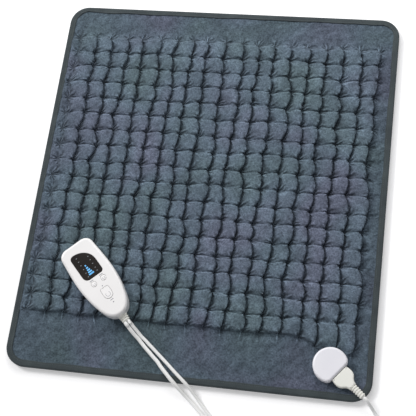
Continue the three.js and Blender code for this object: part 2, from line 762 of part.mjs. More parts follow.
// The window: straight on its left side and at its tail, arched on its right side.
function windowOutline() {
  const [head, left, right] = [windowHeadCorner, windowLeftCorner, windowRightCorner];
  const archLength = windowArchX - windowHeadX;
  const outline = new THREE.Shape();
  outline.moveTo(windowHeadX + head, -windowHalf);
  outline.absarc(windowTailX - left, left - windowHalf, left, 1.5 * Math.PI, 2 * Math.PI);
  outline.absarc(windowTailX - right, windowHalf - right, right, 0, Math.PI / 2);
  outline.absellipse(windowArchX, head - windowHalf, archLength, 2 * windowHalf - head, Math.PI / 2, Math.PI);
  outline.absarc(windowHeadX + head, head - windowHalf, head, Math.PI, 1.5 * Math.PI);
  return outline;
}

// A key: square towards the head, round towards the tail.
function keyOutline(startX, length, y, width, around) {
  const half = width / 2 + around;
  const corner = keyCorner + around;
  const headX = startX - around;
  const roundX = startX + length - width / 2;
  const outline = new THREE.Shape();
  outline.moveTo(headX + corner, y - half);
  outline.absarc(roundX, y, half, -Math.PI / 2, Math.PI / 2);
  outline.absarc(headX + corner, y + half - corner, corner, Math.PI / 2, Math.PI);
  outline.absarc(headX + corner, y - half + corner, corner, Math.PI, 1.5 * Math.PI);
  return outline;
}

const keys = [
  ['temperature', smallKeyX, smallKeyLength, leftKeyY, smallKeyWidth],
  ['timer', smallKeyX, smallKeyLength, rightKeyY, smallKeyWidth],
  ['power', powerKeyX, powerKeyLength, powerKeyY, powerKeyWidth],
];
const caseScrewPlaces = [
  [screwHeadX, screwHeadY], [screwHeadX, -screwHeadY], [screwTailX, screwTailY], [screwTailX, -screwTailY],
];
const ceilingZ = handsetHeight - handsetWall;
const boardTopZ = boardLift + boardThickness;
const screwSeatZ = screwHeadDepth + 2 * gap + screwHeadDepth / 4;
const glandX = handsetLength - glandInside;
const glandNeckX = glandX + glandFlange;
const screwTopZ = screwSeatZ + screwLength + gap;

// An oval bar along the gland's own line, larger than the gland's neck by a lip.
function glandBar(lowX, highX, lip) {
  const [wide, high] = [glandHalfWidth + lip, glandHalfHeight + lip];
  return skin([lowX, highX].map((x) => ellipse(x, 0, handsetSplit, wide, high)), false);
}

const glandHole = glandBar(glandX - overrun, handsetLength + overrun, gap)
  .add(glandBar(glandX - overrun, glandNeckX + gap, glandFlangeLip + gap));
const shellBlock = roundPrism(handsetOutline(), 0, handsetHeight, handsetRound);
const innerOutline = drawnIn(handsetOutline(), handsetWall);
const shellCavity = roundPrism(innerOutline, handsetWall, ceilingZ, handsetRound - handsetWall);
const shell = shellBlock.subtract(shellCavity);
const keyHoles = joined(keys.map(([, x, length, y, width]) =>
  prism(keyOutline(x, length, y, width, keyClearance), ceilingZ - overrun, handsetHeight + overrun)));
const lensSeatZ = handsetHeight - lensThickness - gap;
const windowHole = prism(drawnIn(windowOutline(), lensLedge), ceilingZ - overrun, handsetHeight + overrun)
  .add(prism(drawnIn(windowOutline(), -gap), lensSeatZ, handsetHeight + overrun));
const topBosses = posts(caseScrewPlaces, bossRadius, boardTopZ + gap, ceilingZ + handsetWall / 2);
const screwHoles = posts(caseScrewPlaces, screwRadius + gap, boardTopZ - overrun, screwTopZ);
const topShell = above(shell, handsetSplit + gap / 2).add(topBosses)
  .subtract(keyHoles).subtract(windowHole).subtract(screwHoles).subtract(glandHole);
add(handset, 'controller_top_shell', topShell, whitePlastic);

const bottomBosses = posts(caseScrewPlaces, bossRadius, handsetWall / 2, boardLift - gap);
const headHoles = posts(caseScrewPlaces, screwHeadRadius + gap, -overrun, screwSeatZ);
const shankHoles = posts(caseScrewPlaces, screwRadius + gap, -overrun, boardLift);
const bottomShell = below(shell, handsetSplit - gap / 2).add(bottomBosses)
  .subtract(headHoles).subtract(shankHoles).subtract(glandHole);
add(handset, 'controller_bottom_shell', bottomShell, whitePlastic);
caseScrewPlaces.forEach(([x, y], index) => {
  const headTopZ = screwSeatZ - gap;
  const head = post(x, y, screwHeadRadius, headTopZ - screwHeadDepth, headTopZ);
  const shank = post(x, y, screwRadius, headTopZ - screwHeadDepth / 2, headTopZ + screwLength);
  add(handset, `case_screw_${index + 1}`, head.add(shank), steel);
});

// Window, display and circuit board
add(handset, 'display_window', prism(windowOutline(), lensSeatZ + gap, handsetHeight), smokedLens);
const [moduleHeadX, moduleTailX] = [windowHeadX + moduleMargin, windowTailX - moduleMargin];
const display = box(moduleHeadX, moduleTailX, -moduleHalf, moduleHalf, boardTopZ + gap, ceilingZ - gap);
add(handset, 'display_module', display, greyPlastic);
const [underBoardZ, overBoardZ] = [boardLift - overrun, boardTopZ + overrun];
const board = prism(drawnIn(handsetOutline(), handsetWall + boardMargin), boardLift, boardTopZ)
  .subtract(posts(caseScrewPlaces, screwRadius + gap, underBoardZ, overBoardZ))
  .subtract(box(glandX - gap, handsetLength, -handsetHalf, handsetHalf, underBoardZ, overBoardZ));
add(handset, 'circuit_board', board, boardGreen);

// Keys, each over its own switch
const onBoardZ = boardTopZ + gap;
const plungerTopZ = onBoardZ + switchHeight + plungerHeight;
const flangeTopZ = ceilingZ - gap;
const flangeMidZ = flangeTopZ - keyFlangeThickness / 2;
for (const [name, startX, length, y, width] of keys) {
  const midX = startX + length / 2;
  const outline = (around) => keyOutline(startX, length, y, width, around);
  const cap = prism(outline(0), flangeMidZ, handsetHeight + keyProud);
  const flange = prism(outline(keyFlange), flangeTopZ - keyFlangeThickness, flangeTopZ);
  const stem = post(midX, y, keyStemRadius, plungerTopZ + keyTravel + keyStemGap, flangeMidZ);
  add(handset, `${name}_key`, cap.add(flange).add(stem), whitePlastic);
  const body = box(midX - switchSide / 2, midX + switchSide / 2, y - switchSide / 2, y + switchSide / 2,
    onBoardZ, onBoardZ + switchHeight);
  const plunger = post(midX, y, plungerRadius, onBoardZ + switchHeight / 2, plungerTopZ);
  add(handset, `${name}_switch`, body.add(plunger), blackPlastic);
}

// Under the board and beside the keys
const chip = box(chipX - chipSide / 2, chipX + chipSide / 2, -chipSide / 2, chipSide / 2,
  boardLift - gap - chipThickness, boardLift - gap);
add(handset, 'microcontroller', chip, blackPlastic);
const fuseY = powerKeyY - powerKeyWidth / 2 - keyFlange - gap - fuseRadius;
add(handset, 'fuse', rod(fuseX, fuseX + fuseLength, fuseY, onBoardZ + fuseRadius, fuseRadius), glassTube);
const relayEndX = relayX + relayLength;
const relay = box(relayX, relayEndX, -relayHalf, relayHalf, onBoardZ, onBoardZ + relayHeight);
add(handset, 'relay', relay, relayBlue);

// Gland where both cords leave the handset
const glandSize = [glandHalfWidth, glandHalfHeight];
const glandEndSize = [glandEndHalfWidth, glandEndHalfHeight];
const glandRibX = handsetLength + gap;
const glandRings = ribs(glandRibX, glandReach, glandRibs, glandSize, glandEndSize, handsetSplit);
const gland = glandBar(glandX, glandNeckX, glandFlangeLip)
  .add(glandBar(glandX + glandFlange / 2, glandRibX + glandReach / glandRibs / 4, 0))
  .add(skin(glandRings, false));
add(handset, 'cord_gland', gland, ivoryPlastic);

// Cords, each from one fitting to the next
const level = (direction) => new THREE.Vector3(Math.cos(direction), Math.sin(direction), 0);
const fromHandset = (x, y) => new THREE.Vector3(x, y, handsetSplit).applyMatrix4(handset.matrixWorld);
const cordPoints = (route, fromX = tailX, fromY = tailY) =>
  route.map(([x, y, z]) => new THREE.Vector3(fromX + x, fromY + y, z));
part.updateMatrixWorld(true);

// The last stretch of a route before a fitting, or the first after one, is straight for one diameter.
function endPoints(place, direction, diameter) {
  const face = place.clone().addScaledVector(direction, gap);
  return [face, face.clone().addScaledVector(direction, diameter)];
}

function addCord(name, points, diameter, steps) {
  const circle = Array.from({ length: cordSides }, (_, side) => {
    const turn = (2 * Math.PI * side) / cordSides;
    return new THREE.Vector2(Math.cos(turn), Math.sin(turn)).multiplyScalar(diameter / 2);
  });
  const extrudePath = new THREE.CatmullRomCurve3(points);
  const swept = new THREE.ExtrudeGeometry(new THREE.Shape(circle), { steps, extrudePath });
  add(part, name, solid(swept), cordPlastic);
  return extrudePath.getLength();
}

// The coil: one tube spiralling in and out, climbing in the half turn where the spiral reverses.
const coilStep = mainsDiameter + coilGap;

function coilPath() {
  const layerTurns = coilTurns / coilLayers;
  const points = [];
  for (let step = 0; step <= coilTurns * coilSteps; step++) {
    const turns = step / coilSteps;
    const intoPair = turns % (2 * layerTurns);
    const inward = Math.min(intoPair, 2 * layerTurns - intoPair);
    let climbs = 0;
    for (let layer = 1; layer < coilLayers; layer++) {
      climbs += THREE.MathUtils.clamp(2 * (turns - layer * layerTurns) + 0.5, 0, 1);
    }
    const angle = coilStart - 2 * Math.PI * turns;
    const place = level(angle).multiplyScalar(coilOuterRadius - coilStep * inward);
    points.push(place.add(new THREE.Vector3(coilX, coilY, mainsDiameter / 2 + coilStep * climbs)));
  }
  const startDirection = level(coilStart - Math.PI / 2);
  points.unshift(points[0].clone().addScaledVector(startDirection, -mainsDiameter));
  points.push(points.at(-1).clone().addScaledVector(coilEndDirection, mainsDiameter));
  return points;
}

// Least gap between a coil's turns: from each point to every stretch half a turn or more away.
function leastGap(points) {
  const stretch = new THREE.Line3();
  const nearest = new THREE.Vector3();
  let least = Infinity;
  for (let at = 0; at < points.length; at++) {
    for (let other = at + coilSteps / 2; other + 1 < points.length; other++) {
      stretch.set(points[other], points[other + 1]).closestPointToPoint(points[at], true, nearest);
      least = Math.min(least, nearest.distanceTo(points[at]) - mainsDiameter);
    }
  }
  return least;
}

const coilEndDirection = level(coilStart - 2 * Math.PI * coilTurns - Math.PI / 2);
const coil = coilPath();
const coilLength = new THREE.CurvePath();
coil.slice(1).forEach((point, index) => coilLength.add(new THREE.LineCurve3(coil[index], point)));
add(part, 'mains_lead_coil', tube(coil, mainsDiameter / 2, coilSides), cordPlastic);

const glandEndX = glandRibX + glandReach;
const glandDirection = level(handsetTurn);
const mainsExit = endPoints(fromHandset(glandEndX, -cordSpacing / 2), glandDirection, mainsDiameter);
const leadExit = endPoints(fromHandset(glandEndX, cordSpacing / 2), glandDirection, leadDiameter);
const coilEntry = endPoints(coil[0], level(coilStart + Math.PI / 2), mainsDiameter).reverse();
const reliefEnd = new THREE.Vector3(reliefX + reliefLength, 0, connectorMidZ)
  .applyMatrix4(socket.matrixWorld);
const leadEntry = endPoints(reliefEnd, level(socketTurn), leadDiameter).reverse();
const mainsPath = [...mainsExit, ...cordPoints(mainsRoute), ...coilEntry];
const leadReturnPoints = cordPoints(leadReturn, socketX, socketY);
const leadPath = [...leadExit, ...cordPoints(leadRoute), ...leadReturnPoints, ...leadEntry];
const mainsStart = addCord('mains_lead', mainsPath, mainsDiameter, mainsSteps);
const leadLength = addCord('pad_lead', leadPath, leadDiameter, leadSteps);

// Plug, lying beside the coil with its cord side towards it
const plug = new THREE.Group();
plug.position.set(plugX, plugY, 0);
plug.rotation.z = plugTurn;
part.add(plug);
plug.updateMatrixWorld(true);
const plugMidZ = plugHeight / 2;
const bodyX = plugReliefLength + gap;
const bodyEndX = bodyX + plugLength;
const coilExit = endPoints(coil.at(-1), coilEndDirection, mainsDiameter);
const plugPlace = new THREE.Vector3(plugX, plugY, plugMidZ);
const plugEntry = endPoints(plugPlace, level(plugTurn + Math.PI), mainsDiameter).reverse();
const plugPath = [...coilExit, ...cordPoints(plugRoute), ...plugEntry];
const mainsEnd = addCord('mains_lead_end', plugPath, mainsDiameter, plugSteps);
const [thin, thick] = [plugReliefEndRadius, plugReliefRadius];
const plugReliefRings = ribs(0, plugReliefLength, plugReliefRibs, [thin, thin], [thick, thick], plugMidZ);
add(plug, 'plug_strain_relief', skin(plugReliefRings, false), ivoryPlastic);
const blade = (side, around) => {
  const y = (side * bladeSpacing) / 2;
  const halfThickness = bladeThickness / 2 + around;
  const halfWidth = bladeWidth / 2 + around;
  return box(bodyEndX - bladeRoot - around, bodyEndX + bladeLength, y - halfThickness, y + halfThickness,
    plugMidZ - halfWidth, plugMidZ + halfWidth);
};
const plugOutline = new THREE.Shape(roundedRectangle(plugLength, plugWidth, plugCorner).getPoints(curveSteps)
  .slice(0, -1).map((point) => point.add(new THREE.Vector2(bodyX + plugLength / 2, 0))));
const plugBody = roundPrism(plugOutline, 0, plugHeight, plugRound)
  .subtract(blade(-1, gap)).subtract(blade(1, gap));
add(plug, 'plug_body', plugBody, ivoryPlastic);
[-1, 1].forEach((side, index) => add(plug, `plug_blade_${index + 1}`, blade(side, 0), brass));

const mainsLength = mainsStart + coilLength.getLength() + mainsEnd;
console.log(`coil: ${coilTurns} turns, least gap to itself ${leastGap(coil).toFixed(2)} mm`);
console.log(`mains lead ${mainsLength.toFixed()} mm, pad lead ${leadLength.toFixed()} mm`);

export default part;
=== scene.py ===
# %% [markdown]
# # A quilted heating pad with its handset
#
# The pad lies flat on a pale floor. A white handset rests on its near left part, a round socket sits on
# its near right corner, and two cords cross the near edge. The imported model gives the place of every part,
# so each piece below is worked out in that frame, in millimetres, and put into a mesh in metres.

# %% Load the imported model
import math
import bpy
import bmesh
import numpy as np
from mathutils import Matrix, Vector
from mathutils.geometry import tessellate_polygon


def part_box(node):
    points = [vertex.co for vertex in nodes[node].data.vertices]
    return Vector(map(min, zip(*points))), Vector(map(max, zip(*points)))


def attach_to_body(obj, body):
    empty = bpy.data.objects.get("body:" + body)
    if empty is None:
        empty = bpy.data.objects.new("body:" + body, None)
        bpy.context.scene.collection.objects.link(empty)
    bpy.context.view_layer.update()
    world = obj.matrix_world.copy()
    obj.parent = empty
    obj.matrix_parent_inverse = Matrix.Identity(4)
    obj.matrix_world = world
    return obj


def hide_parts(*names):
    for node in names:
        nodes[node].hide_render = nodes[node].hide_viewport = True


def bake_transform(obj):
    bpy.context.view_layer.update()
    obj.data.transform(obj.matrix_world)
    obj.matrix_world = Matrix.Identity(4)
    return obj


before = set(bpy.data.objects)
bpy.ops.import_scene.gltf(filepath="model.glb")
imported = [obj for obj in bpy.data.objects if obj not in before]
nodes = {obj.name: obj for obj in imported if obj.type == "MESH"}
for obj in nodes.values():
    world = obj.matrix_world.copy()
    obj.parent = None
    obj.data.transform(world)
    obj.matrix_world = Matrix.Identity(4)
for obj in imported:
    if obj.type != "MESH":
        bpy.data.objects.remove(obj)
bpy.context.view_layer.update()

# %% [markdown]
# ## Meshes from arrays
#
# A surface is worked out as a grid of points, as whole arrays, and its faces follow from the grid's
# numbering. Blender reads both in one go with foreach_set, which is far quicker than one vertex at a time.
# Flat faces with holes in them are filled with triangles.

# %% Blocks of faces
# A millimetre in metres, and a metre in millimetres.
MM, METRE = 0.001, 1000


def grid(points, wrap_columns=True, wrap_rows=False):
    """A block of quads through an array of rows x columns x 3: each quad joins two neighbours of one row
    with the two of the next row. A wrapped side also joins its last line with its first."""
    rows, columns = points.shape[:2]
    r = np.arange(rows if wrap_rows else rows - 1)[:, None]
    c = np.arange(columns if wrap_columns else columns - 1)[None, :]
    after_r, after_c = (r + 1) % rows, (c + 1) % columns
    corners = (r * columns + c, r * columns + after_c, after_r * columns + after_c, after_r * columns + c)
    return points.reshape(-1, 3), np.stack(corners, -1).reshape(-1, 4)


def fill(*loops):
    """A flat block of triangles inside the first loop and outside the others."""
    triangles = tessellate_polygon([[Vector(p) for p in loop] for loop in loops])
    return np.concatenate(loops), np.array(triangles)


def capped(rings):
    """A closed form: the wall through its rings and a flat face on the first and on the last."""
    return [grid(rings), fill(rings[0]), fill(rings[-1])]


print("blocks are pairs of points and faces")

# %% Pieces


def mesh_from(name, points, face_blocks):
    """A mesh of points in metres and blocks of faces, each block with one count of corners."""
    mesh = bpy.data.meshes.new(name)
    corners = np.concatenate([block.ravel() for block in face_blocks]).astype(np.int32)
    counts = np.concatenate([np.full(len(block), block.shape[1]) for block in face_blocks])
    starts = np.concatenate([[0], np.cumsum(counts)[:-1]]).astype(np.int32)
    mesh.vertices.add(len(points))
    mesh.vertices.foreach_set("co", np.asarray(points, np.float32).ravel())
    mesh.loops.add(len(corners))
    mesh.loops.foreach_set("vertex_index", corners)
    mesh.polygons.add(len(counts))
    mesh.polygons.foreach_set("loop_start", starts)
    mesh.polygons.foreach_set("use_smooth", np.ones(len(counts), bool))
    mesh.update(calc_edges=True)
    return mesh


def show(name, mesh):
    """A new object at the origin that holds the mesh."""
    piece = bpy.data.objects.new(name, mesh)
    bpy.context.collection.objects.link(piece)
    return piece


def build(name, blocks, place=(0, 0, 0), turn=0.0, sharp=35):
    """A piece from several blocks in millimetres: turned about Z, moved to its place, its doubled points
    merged and its faces turned outwards. Edges sharper than an angle in degrees stay crisp."""
    points = np.concatenate([block[0] for block in blocks])
    firsts = np.cumsum([0] + [len(block[0]) for block in blocks[:-1]])
    c, s = math.cos(turn), math.sin(turn)
    turned = points @ np.array([[c, s, 0], [-s, c, 0], [0, 0, 1]]) + np.array(place)
    mesh = mesh_from(name, turned * MM, [block[1] + first for block, first in zip(blocks, firsts)])
    work = bmesh.new()
    work.from_mesh(mesh)
    bmesh.ops.remove_doubles(work, verts=work.verts, dist=0.004 * MM)
    bmesh.ops.dissolve_degenerate(work, edges=work.edges, dist=0.004 * MM)
    bmesh.ops.recalc_face_normals(work, faces=work.faces)
    work.to_mesh(mesh)
    work.free()
    mesh.set_sharp_from_angle(angle=math.radians(sharp))
    return show(name, mesh)


print("pieces are built from blocks")

# %% Outlines and profiles


def spread(outline, z):
    """Flat points of an outline at one height."""
    return np.column_stack([outline, np.full(len(outline), float(z))])


def ring_normals(outline):
    """Outward directions of a closed counterclockwise outline: the chord between each point's two
    neighbours, turned a quarter to the right."""
    along = np.roll(outline, -1, 0) - np.roll(outline, 1, 0)
    out = np.column_stack([along[:, 1], -along[:, 0]])
    return out / np.maximum(np.linalg.norm(out, axis=1, keepdims=True), 1e-9)


def carried(outline, profile):
    """A profile of (inset, height) pairs carried along an outline: at each pair the outline is drawn in by
    the inset, along its own normals, and set at the height."""
    normals = ring_normals(outline)
    return np.stack([spread(outline - normals * inset, z) for inset, z in profile])


def quarter(inset, z, radius, start, steps=8):
    """Pairs of (inset, height) round a quarter circle about a centre, from a starting angle in degrees,
    where 0 points outwards and 90 points up."""
    angle = np.radians(start + np.linspace(0, 90, steps + 1))
    return [(inset - radius * math.cos(a), z + radius * math.sin(a)) for a in angle]


def bezier(a, b, c, d, steps):
    """Cubic Bezier curve: the four points weighted by (1-t)^3, 3(1-t)^2 t, 3(1-t) t^2 and t^3."""
    t = np.linspace(0, 1, steps + 1)[:, None]
    a, b, c, d = (np.array(p, float) for p in (a, b, c, d))
    return (1 - t) ** 3 * a + 3 * (1 - t) ** 2 * t * b + 3 * (1 - t) * t ** 2 * c + t ** 3 * d


def arc(centre, radius, start, end, steps):
    """Points round a circle or an ellipse, between two angles in degrees."""
    angle = np.radians(np.linspace(start, end, steps + 1))
    return np.array(centre) + np.column_stack([np.cos(angle), np.sin(angle)]) * np.broadcast_to(radius, 2)


def circle(centre, radius, steps):
    return arc(centre, radius, 0, 360, steps)[:-1]


def joined(*runs):
    """Runs of points one after another, with doubled points and a doubled end left out."""
    points = np.concatenate(runs)
    step = np.linalg.norm(points - np.roll(points, 1, 0), axis=1)
    return points[step > 1e-6]


def evenly(curve, spacing):
    """The same curve with its points at even distances along it."""
    along = np.concatenate([[0], np.cumsum(np.linalg.norm(np.diff(curve, axis=0), axis=1))])
    at = np.linspace(0, along[-1], int(round(along[-1] / spacing)) + 1)
    return np.column_stack([np.interp(at, along, values) for values in curve.T])


print("a quarter circle of radius 2:", np.round(quarter(2, 2, 2, 0, 2), 2).tolist())

# %% [markdown]
# ## Colours and nodes
#
# Colours are written as they look on a screen, in hex, and one function turns them to the linear values
# that Cycles works with. A recipe makes one material. Its values are outputs of nodes that can be added and
# multiplied like numbers, and each such step adds one math node.

# %% Colours and values


def linear(code):
    """An sRGB hex colour as linear RGBA: below 0.04045 a straight line, above it a power of 2.4."""
    part = np.array([int(code[i:i + 2], 16) / 255 for i in (1, 3, 5)])
    value = np.where(part <= 0.04045, part / 12.92, ((part + 0.055) / 1.055) ** 2.4)
    return (*value.tolist(), 1.0)


def attach(tree, kind, settings=None, inputs=None):
    """A new node: settings are its properties, and each input is a plain value or another node's Value."""
    node = tree.nodes.new(kind)
    for key, value in (settings or {}).items():
        setattr(node, key, value)
    for key, value in (inputs or {}).items():
        if isinstance(value, Value):
            tree.links.new(value.socket, node.inputs[key])
        else:
            node.inputs[key].default_value = value
    return node


class Value:
    """A node's output. Arithmetic with it adds a math node and gives that node's output."""

    def __init__(self, socket):
        self.socket = socket

    def math(self, operation, *others):
        return maths(self.socket.id_data, operation, self, *others)

    def __add__(self, other):
        return self.math("ADD", other)

    def __sub__(self, other):
        return self.math("SUBTRACT", other)

    def __rsub__(self, other):
        return maths(self.socket.id_data, "SUBTRACT", other, self)

    def __mul__(self, other):
        return self.math("MULTIPLY", other)

    def __pow__(self, other):
        return self.math("POWER", other)

    def __abs__(self):
        return self.math("ABSOLUTE")

    def max(self, other):
        return self.math("MAXIMUM", other)


def maths(tree, operation, *values):
    return Value(attach(tree, "ShaderNodeMath", {"operation": operation}, dict(enumerate(values))).outputs[0])


print("plush mid tone", [round(v, 3) for v in linear("#5c6a77")])

# %% Material recipes


class Recipe:
    """A material while it is made. It reads the object's own coordinates, and sizes are in millimetres."""

    def __init__(self, name):
        self.material = bpy.data.materials.new(name)
        self.material.use_nodes = True
        self.tree = self.material.node_tree
        self.tree.nodes.clear()
        self.spot = self.value("ShaderNodeTexCoord", "Object")

    def value(self, kind, output=0, settings=None, **inputs):
        """One output of a new node, whose inputs are named with underscores or numbered after an i."""
        named = {int(key[1:]) if key[1:].isdigit() else key.replace("_", " "): v for key, v in inputs.items()}
        return Value(attach(self.tree, kind, settings, named).outputs[output])

    def noise(self, size, detail=2.0, roughness=0.5, distortion=0.0):
        """Noise whose features are about one size across."""
        return self.value("ShaderNodeTexNoise", "Fac", Vector=self.spot, Scale=METRE / size, Detail=detail,
                          Roughness=roughness, Distortion=distortion)

    def waves(self, vector, axis, scale, distortion, detail_scale):
        """Even bands across an axis, 314 mm divided by the scale apart."""
        return self.value("ShaderNodeTexWave", "Fac", {"bands_direction": axis}, Vector=vector, Scale=scale,
                          Distortion=distortion, Detail_Scale=detail_scale)

    def between(self, value, low, high, from_low=0.3, from_high=0.7):
        return self.value("ShaderNodeMapRange", i0=value, i1=from_low, i2=from_high, i3=low, i4=high)

    def fall(self, value, full_at, none_at):
        """1 up to one value, 0 from another, smooth between."""
        return self.value("ShaderNodeMapRange", 0, {"interpolation_type": "SMOOTHSTEP"}, i0=value, i1=full_at,
                          i2=none_at, i3=1.0, i4=0.0)

    def tones(self, factor, first, second):
        return self.value("ShaderNodeMix", 2, {"data_type": "RGBA"}, i0=factor, i6=linear(first),
                          i7=linear(second))

    def drift(self, size, first, second, detail=2.0):
        """A slow drift between two tones."""
        return self.tones(self.between(self.noise(size, detail), 0, 1), first, second)

    def bump(self, height, depth, strength):
        return self.value("ShaderNodeBump", Strength=strength, Distance=depth * MM, Height=height)

    def surface(self, shader):
        attach(self.tree, "ShaderNodeOutputMaterial", None, {"Surface": shader})
        return self.material

    def principled(self, **inputs):
        return self.surface(self.value("ShaderNodeBsdfPrincipled", **inputs))


def paint(piece, material):
    """Gives a piece one material in place of what it had."""
    piece.data.materials.clear()
    piece.data.materials.append(material)


print("recipes ready")

# %% [markdown]
# ## Camera, light and floor
#
# The camera was solved from the pad's four corners in the photograph. It looks down steeply with a long
# lens. The light is a plain soft studio light: a pale dome, one broad lamp from the far left, which gives
# the puffs their shade on the right and the pad its soft shadow on the near and right sides, and a panel
# beyond the far edge, which leaves the near band darker than the far one.

# %% Camera
camera = bpy.data.objects.new("camera", bpy.data.cameras.new("camera"))
bpy.context.collection.objects.link(camera)
camera.data.sensor_width, camera.data.lens, camera.data.clip_end = 36, 88.70, 20
right = Vector((0.98226, 0.12965, -0.13548))
upward = Vector((-0.07579, 0.93531, 0.34561))
backward = Vector((0.17153, -0.32921, 0.92855))
camera.matrix_world = Matrix((right, upward, backward)).transposed().to_4x4()
camera.location = Vector((255.08, -515.34, 1370.16)) * MM
bpy.context.scene.camera = camera
bpy.context.scene.view_settings.view_transform = "Standard"
print("camera at", [round(v, 3) for v in camera.location])

# %% Light


def lamp(name, kind, energy, place):
    """A lamp at a place in metres, turned towards the origin."""
    piece = bpy.data.objects.new(name, bpy.data.lights.new(name, kind))
    bpy.context.collection.objects.link(piece)
    piece.data.energy, piece.location = energy, place
    piece.rotation_euler = Vector(place).to_track_quat("Z", "Y").to_euler()
    return piece.data


world = bpy.data.worlds.new("studio")
bpy.context.scene.world = world
world.use_nodes = True
dome = world.node_tree.nodes["Background"].inputs
dome["Color"].default_value, dome["Strength"].default_value = linear("#fbfcff"), 0.37
lamp("key_lamp", "SUN", 1.6, (-0.66, 0.40, 0.62)).angle = math.radians(16)
lamp("far_panel", "AREA", 11.0, (-0.05, 1.0, 0.9)).size = 1.1
print("a dome and two lamps")

# %% Floor
floor_corners = np.array([[-3, -3, -0.0004], [3, -3, -0.0004], [3, 3, -0.0004], [-3, 3, -0.0004]])
floor = show("floor", mesh_from("floor", floor_corners, [np.array([[0, 1, 2, 3]])]))
# Floor: a board with matt white paint, which glows a little where it is seen, mirrored or seen through
# something clear.
recipe = Recipe("matt_white_paint")
drift = recipe.value("ShaderNodeTexNoise", "Fac", Scale=4.0, Detail=3.0)
board = recipe.value("ShaderNodeBsdfDiffuse", Color=recipe.tones(drift, "#f6f5f5", "#f9f9fa"))
seen, mirrored, through = (recipe.value("ShaderNodeLightPath", f"Is {kind} Ray")
                           for kind in ("Camera", "Glossy", "Transmission"))
glow = recipe.value("ShaderNodeEmission", Strength=seen.max(mirrored).max(through) * 0.26)
paint(floor, recipe.surface(recipe.value("ShaderNodeAddShader", i0=board, i1=glow)))
print("floor ready")

# %% [markdown]
# ## The frame's own places
#
# The handset, the socket and the plug each have a frame of their own: a place on the pad or floor and a
# turn about Z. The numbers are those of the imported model.

# %% Places and heights
root = "pad_and_handset"
pad_width, pad_depth, pad_corner = 508.0, 571.5, 28.0
band_z = 8.3
handset_length, handset_z = 126.0, 12.6
handset_at = np.array([-178.0, -111.5, handset_z]), math.radians(-47)
socket_at = np.array([197.4, -242.0, 0.0]), math.radians(-39)


def level(angle):
    return np.array([math.cos(angle), math.sin(angle), 0.0])


def out_of(at, x, y, z):
    """A point of a turned frame in the pad's own frame."""
    place, turn = at
    return place + x * level(turn) + y * level(turn + math.pi / 2) + [0, 0, z]


tail = out_of(handset_at, handset_length, 0, -handset_z)
plug_at = tail + [66.0, -205.4, 0], math.radians(186)
print("floor under the handset's tail", tail.round(2))

# %% [markdown]
# ## Cords
#
# Both cords are soft plastic over twisted wire: they keep a round section and lie in easy curves. The pad
# lead runs from the handset over the near edge, swings round out of view and comes back to the connector.
# The mains lead goes the same way, and its unseen length is wound into a neat coil with the plug beside
# it. A cord is a circle carried along a smooth path. The path never turns straight up, so its side
# direction is the level one across it, and the whole tube is one array.

# %% Routes
lead_diameter, mains_diameter, fitting_gap = 4.8, 5.4, 0.3
mains_route = [
    (9.1, -13.6, 19), (14.2, -18.9, 16.4), (19.8, -24.1, 13.8), (25, -28.5, 12.2), (31.2, -34.6, 11.4),
    (37.1, -40.2, 11.2), (43.8, -46.2, 11.2), (49.5, -51.4, 11.2), (56.2, -57.2, 11.4), (61.6, -63.3, 11.9),
    (69.7, -71.3, 12.9), (77.9, -79.3, 13.1), (83.9, -84.7, 11.8), (92, -91.8, 8), (99.1, -97.6, 4.9),
    (107.1, -104.1, 3.2), (115.3, -111.4, 2.7), (127.1, -122.3, 2.7)]
lead_route = [
    (12.6, -9.1, 19), (17.4, -14, 16.4), (23.1, -19.2, 13.6), (28.8, -24.6, 11.8), (34.9, -29.3, 11.2),
    (41.1, -34.5, 11.1), (47.3, -39.6, 11.1), (55, -46, 11.1), (62.6, -52.3, 11.2), (72.6, -60.7, 11.9),
    (81.1, -68.1, 12.7), (90.2, -75.6, 13), (98.1, -82.1, 12.3), (105, -88.2, 9.3), (111.7, -95, 5.7),
    (118.6, -102.4, 3.2), (126, -110.6, 2.5), (135.3, -119.9, 2.4), (146.6, -128.9, 2.4)]
lead_return = [
    (-113.4, -116, 2.4), (-79.4, -142, 2.4), (-45.4, -160, 2.4), (-7.4, -168, 2.4), (30.6, -163, 2.4),
    (60.6, -148, 2.4), (81.6, -124, 2.4), (87.6, -96, 2.4), (79.6, -74, 2.4), (65.1, -58, 2.6),
    (61, -52.9, 4.2), (56.8, -47.8, 8)]
plug_route = [(111.8, -200.6, 20.2), (105.8, -201.2, 19.3), (97.9, -202, 16.3), (89.9, -202.9, 12.4),
              (81.9, -203.7, 9.6)]
coil_place = tail + [122.0, -163.9, mains_diameter / 2]
coil_radius, coil_step, coil_layers, coil_turns = 35.5, 6.0, 4, 8.375
coil_start = math.radians(51)
print("routes of", len(mains_route), "and", len(lead_route) + len(lead_return), "points")

# %% Smooth paths and the coil


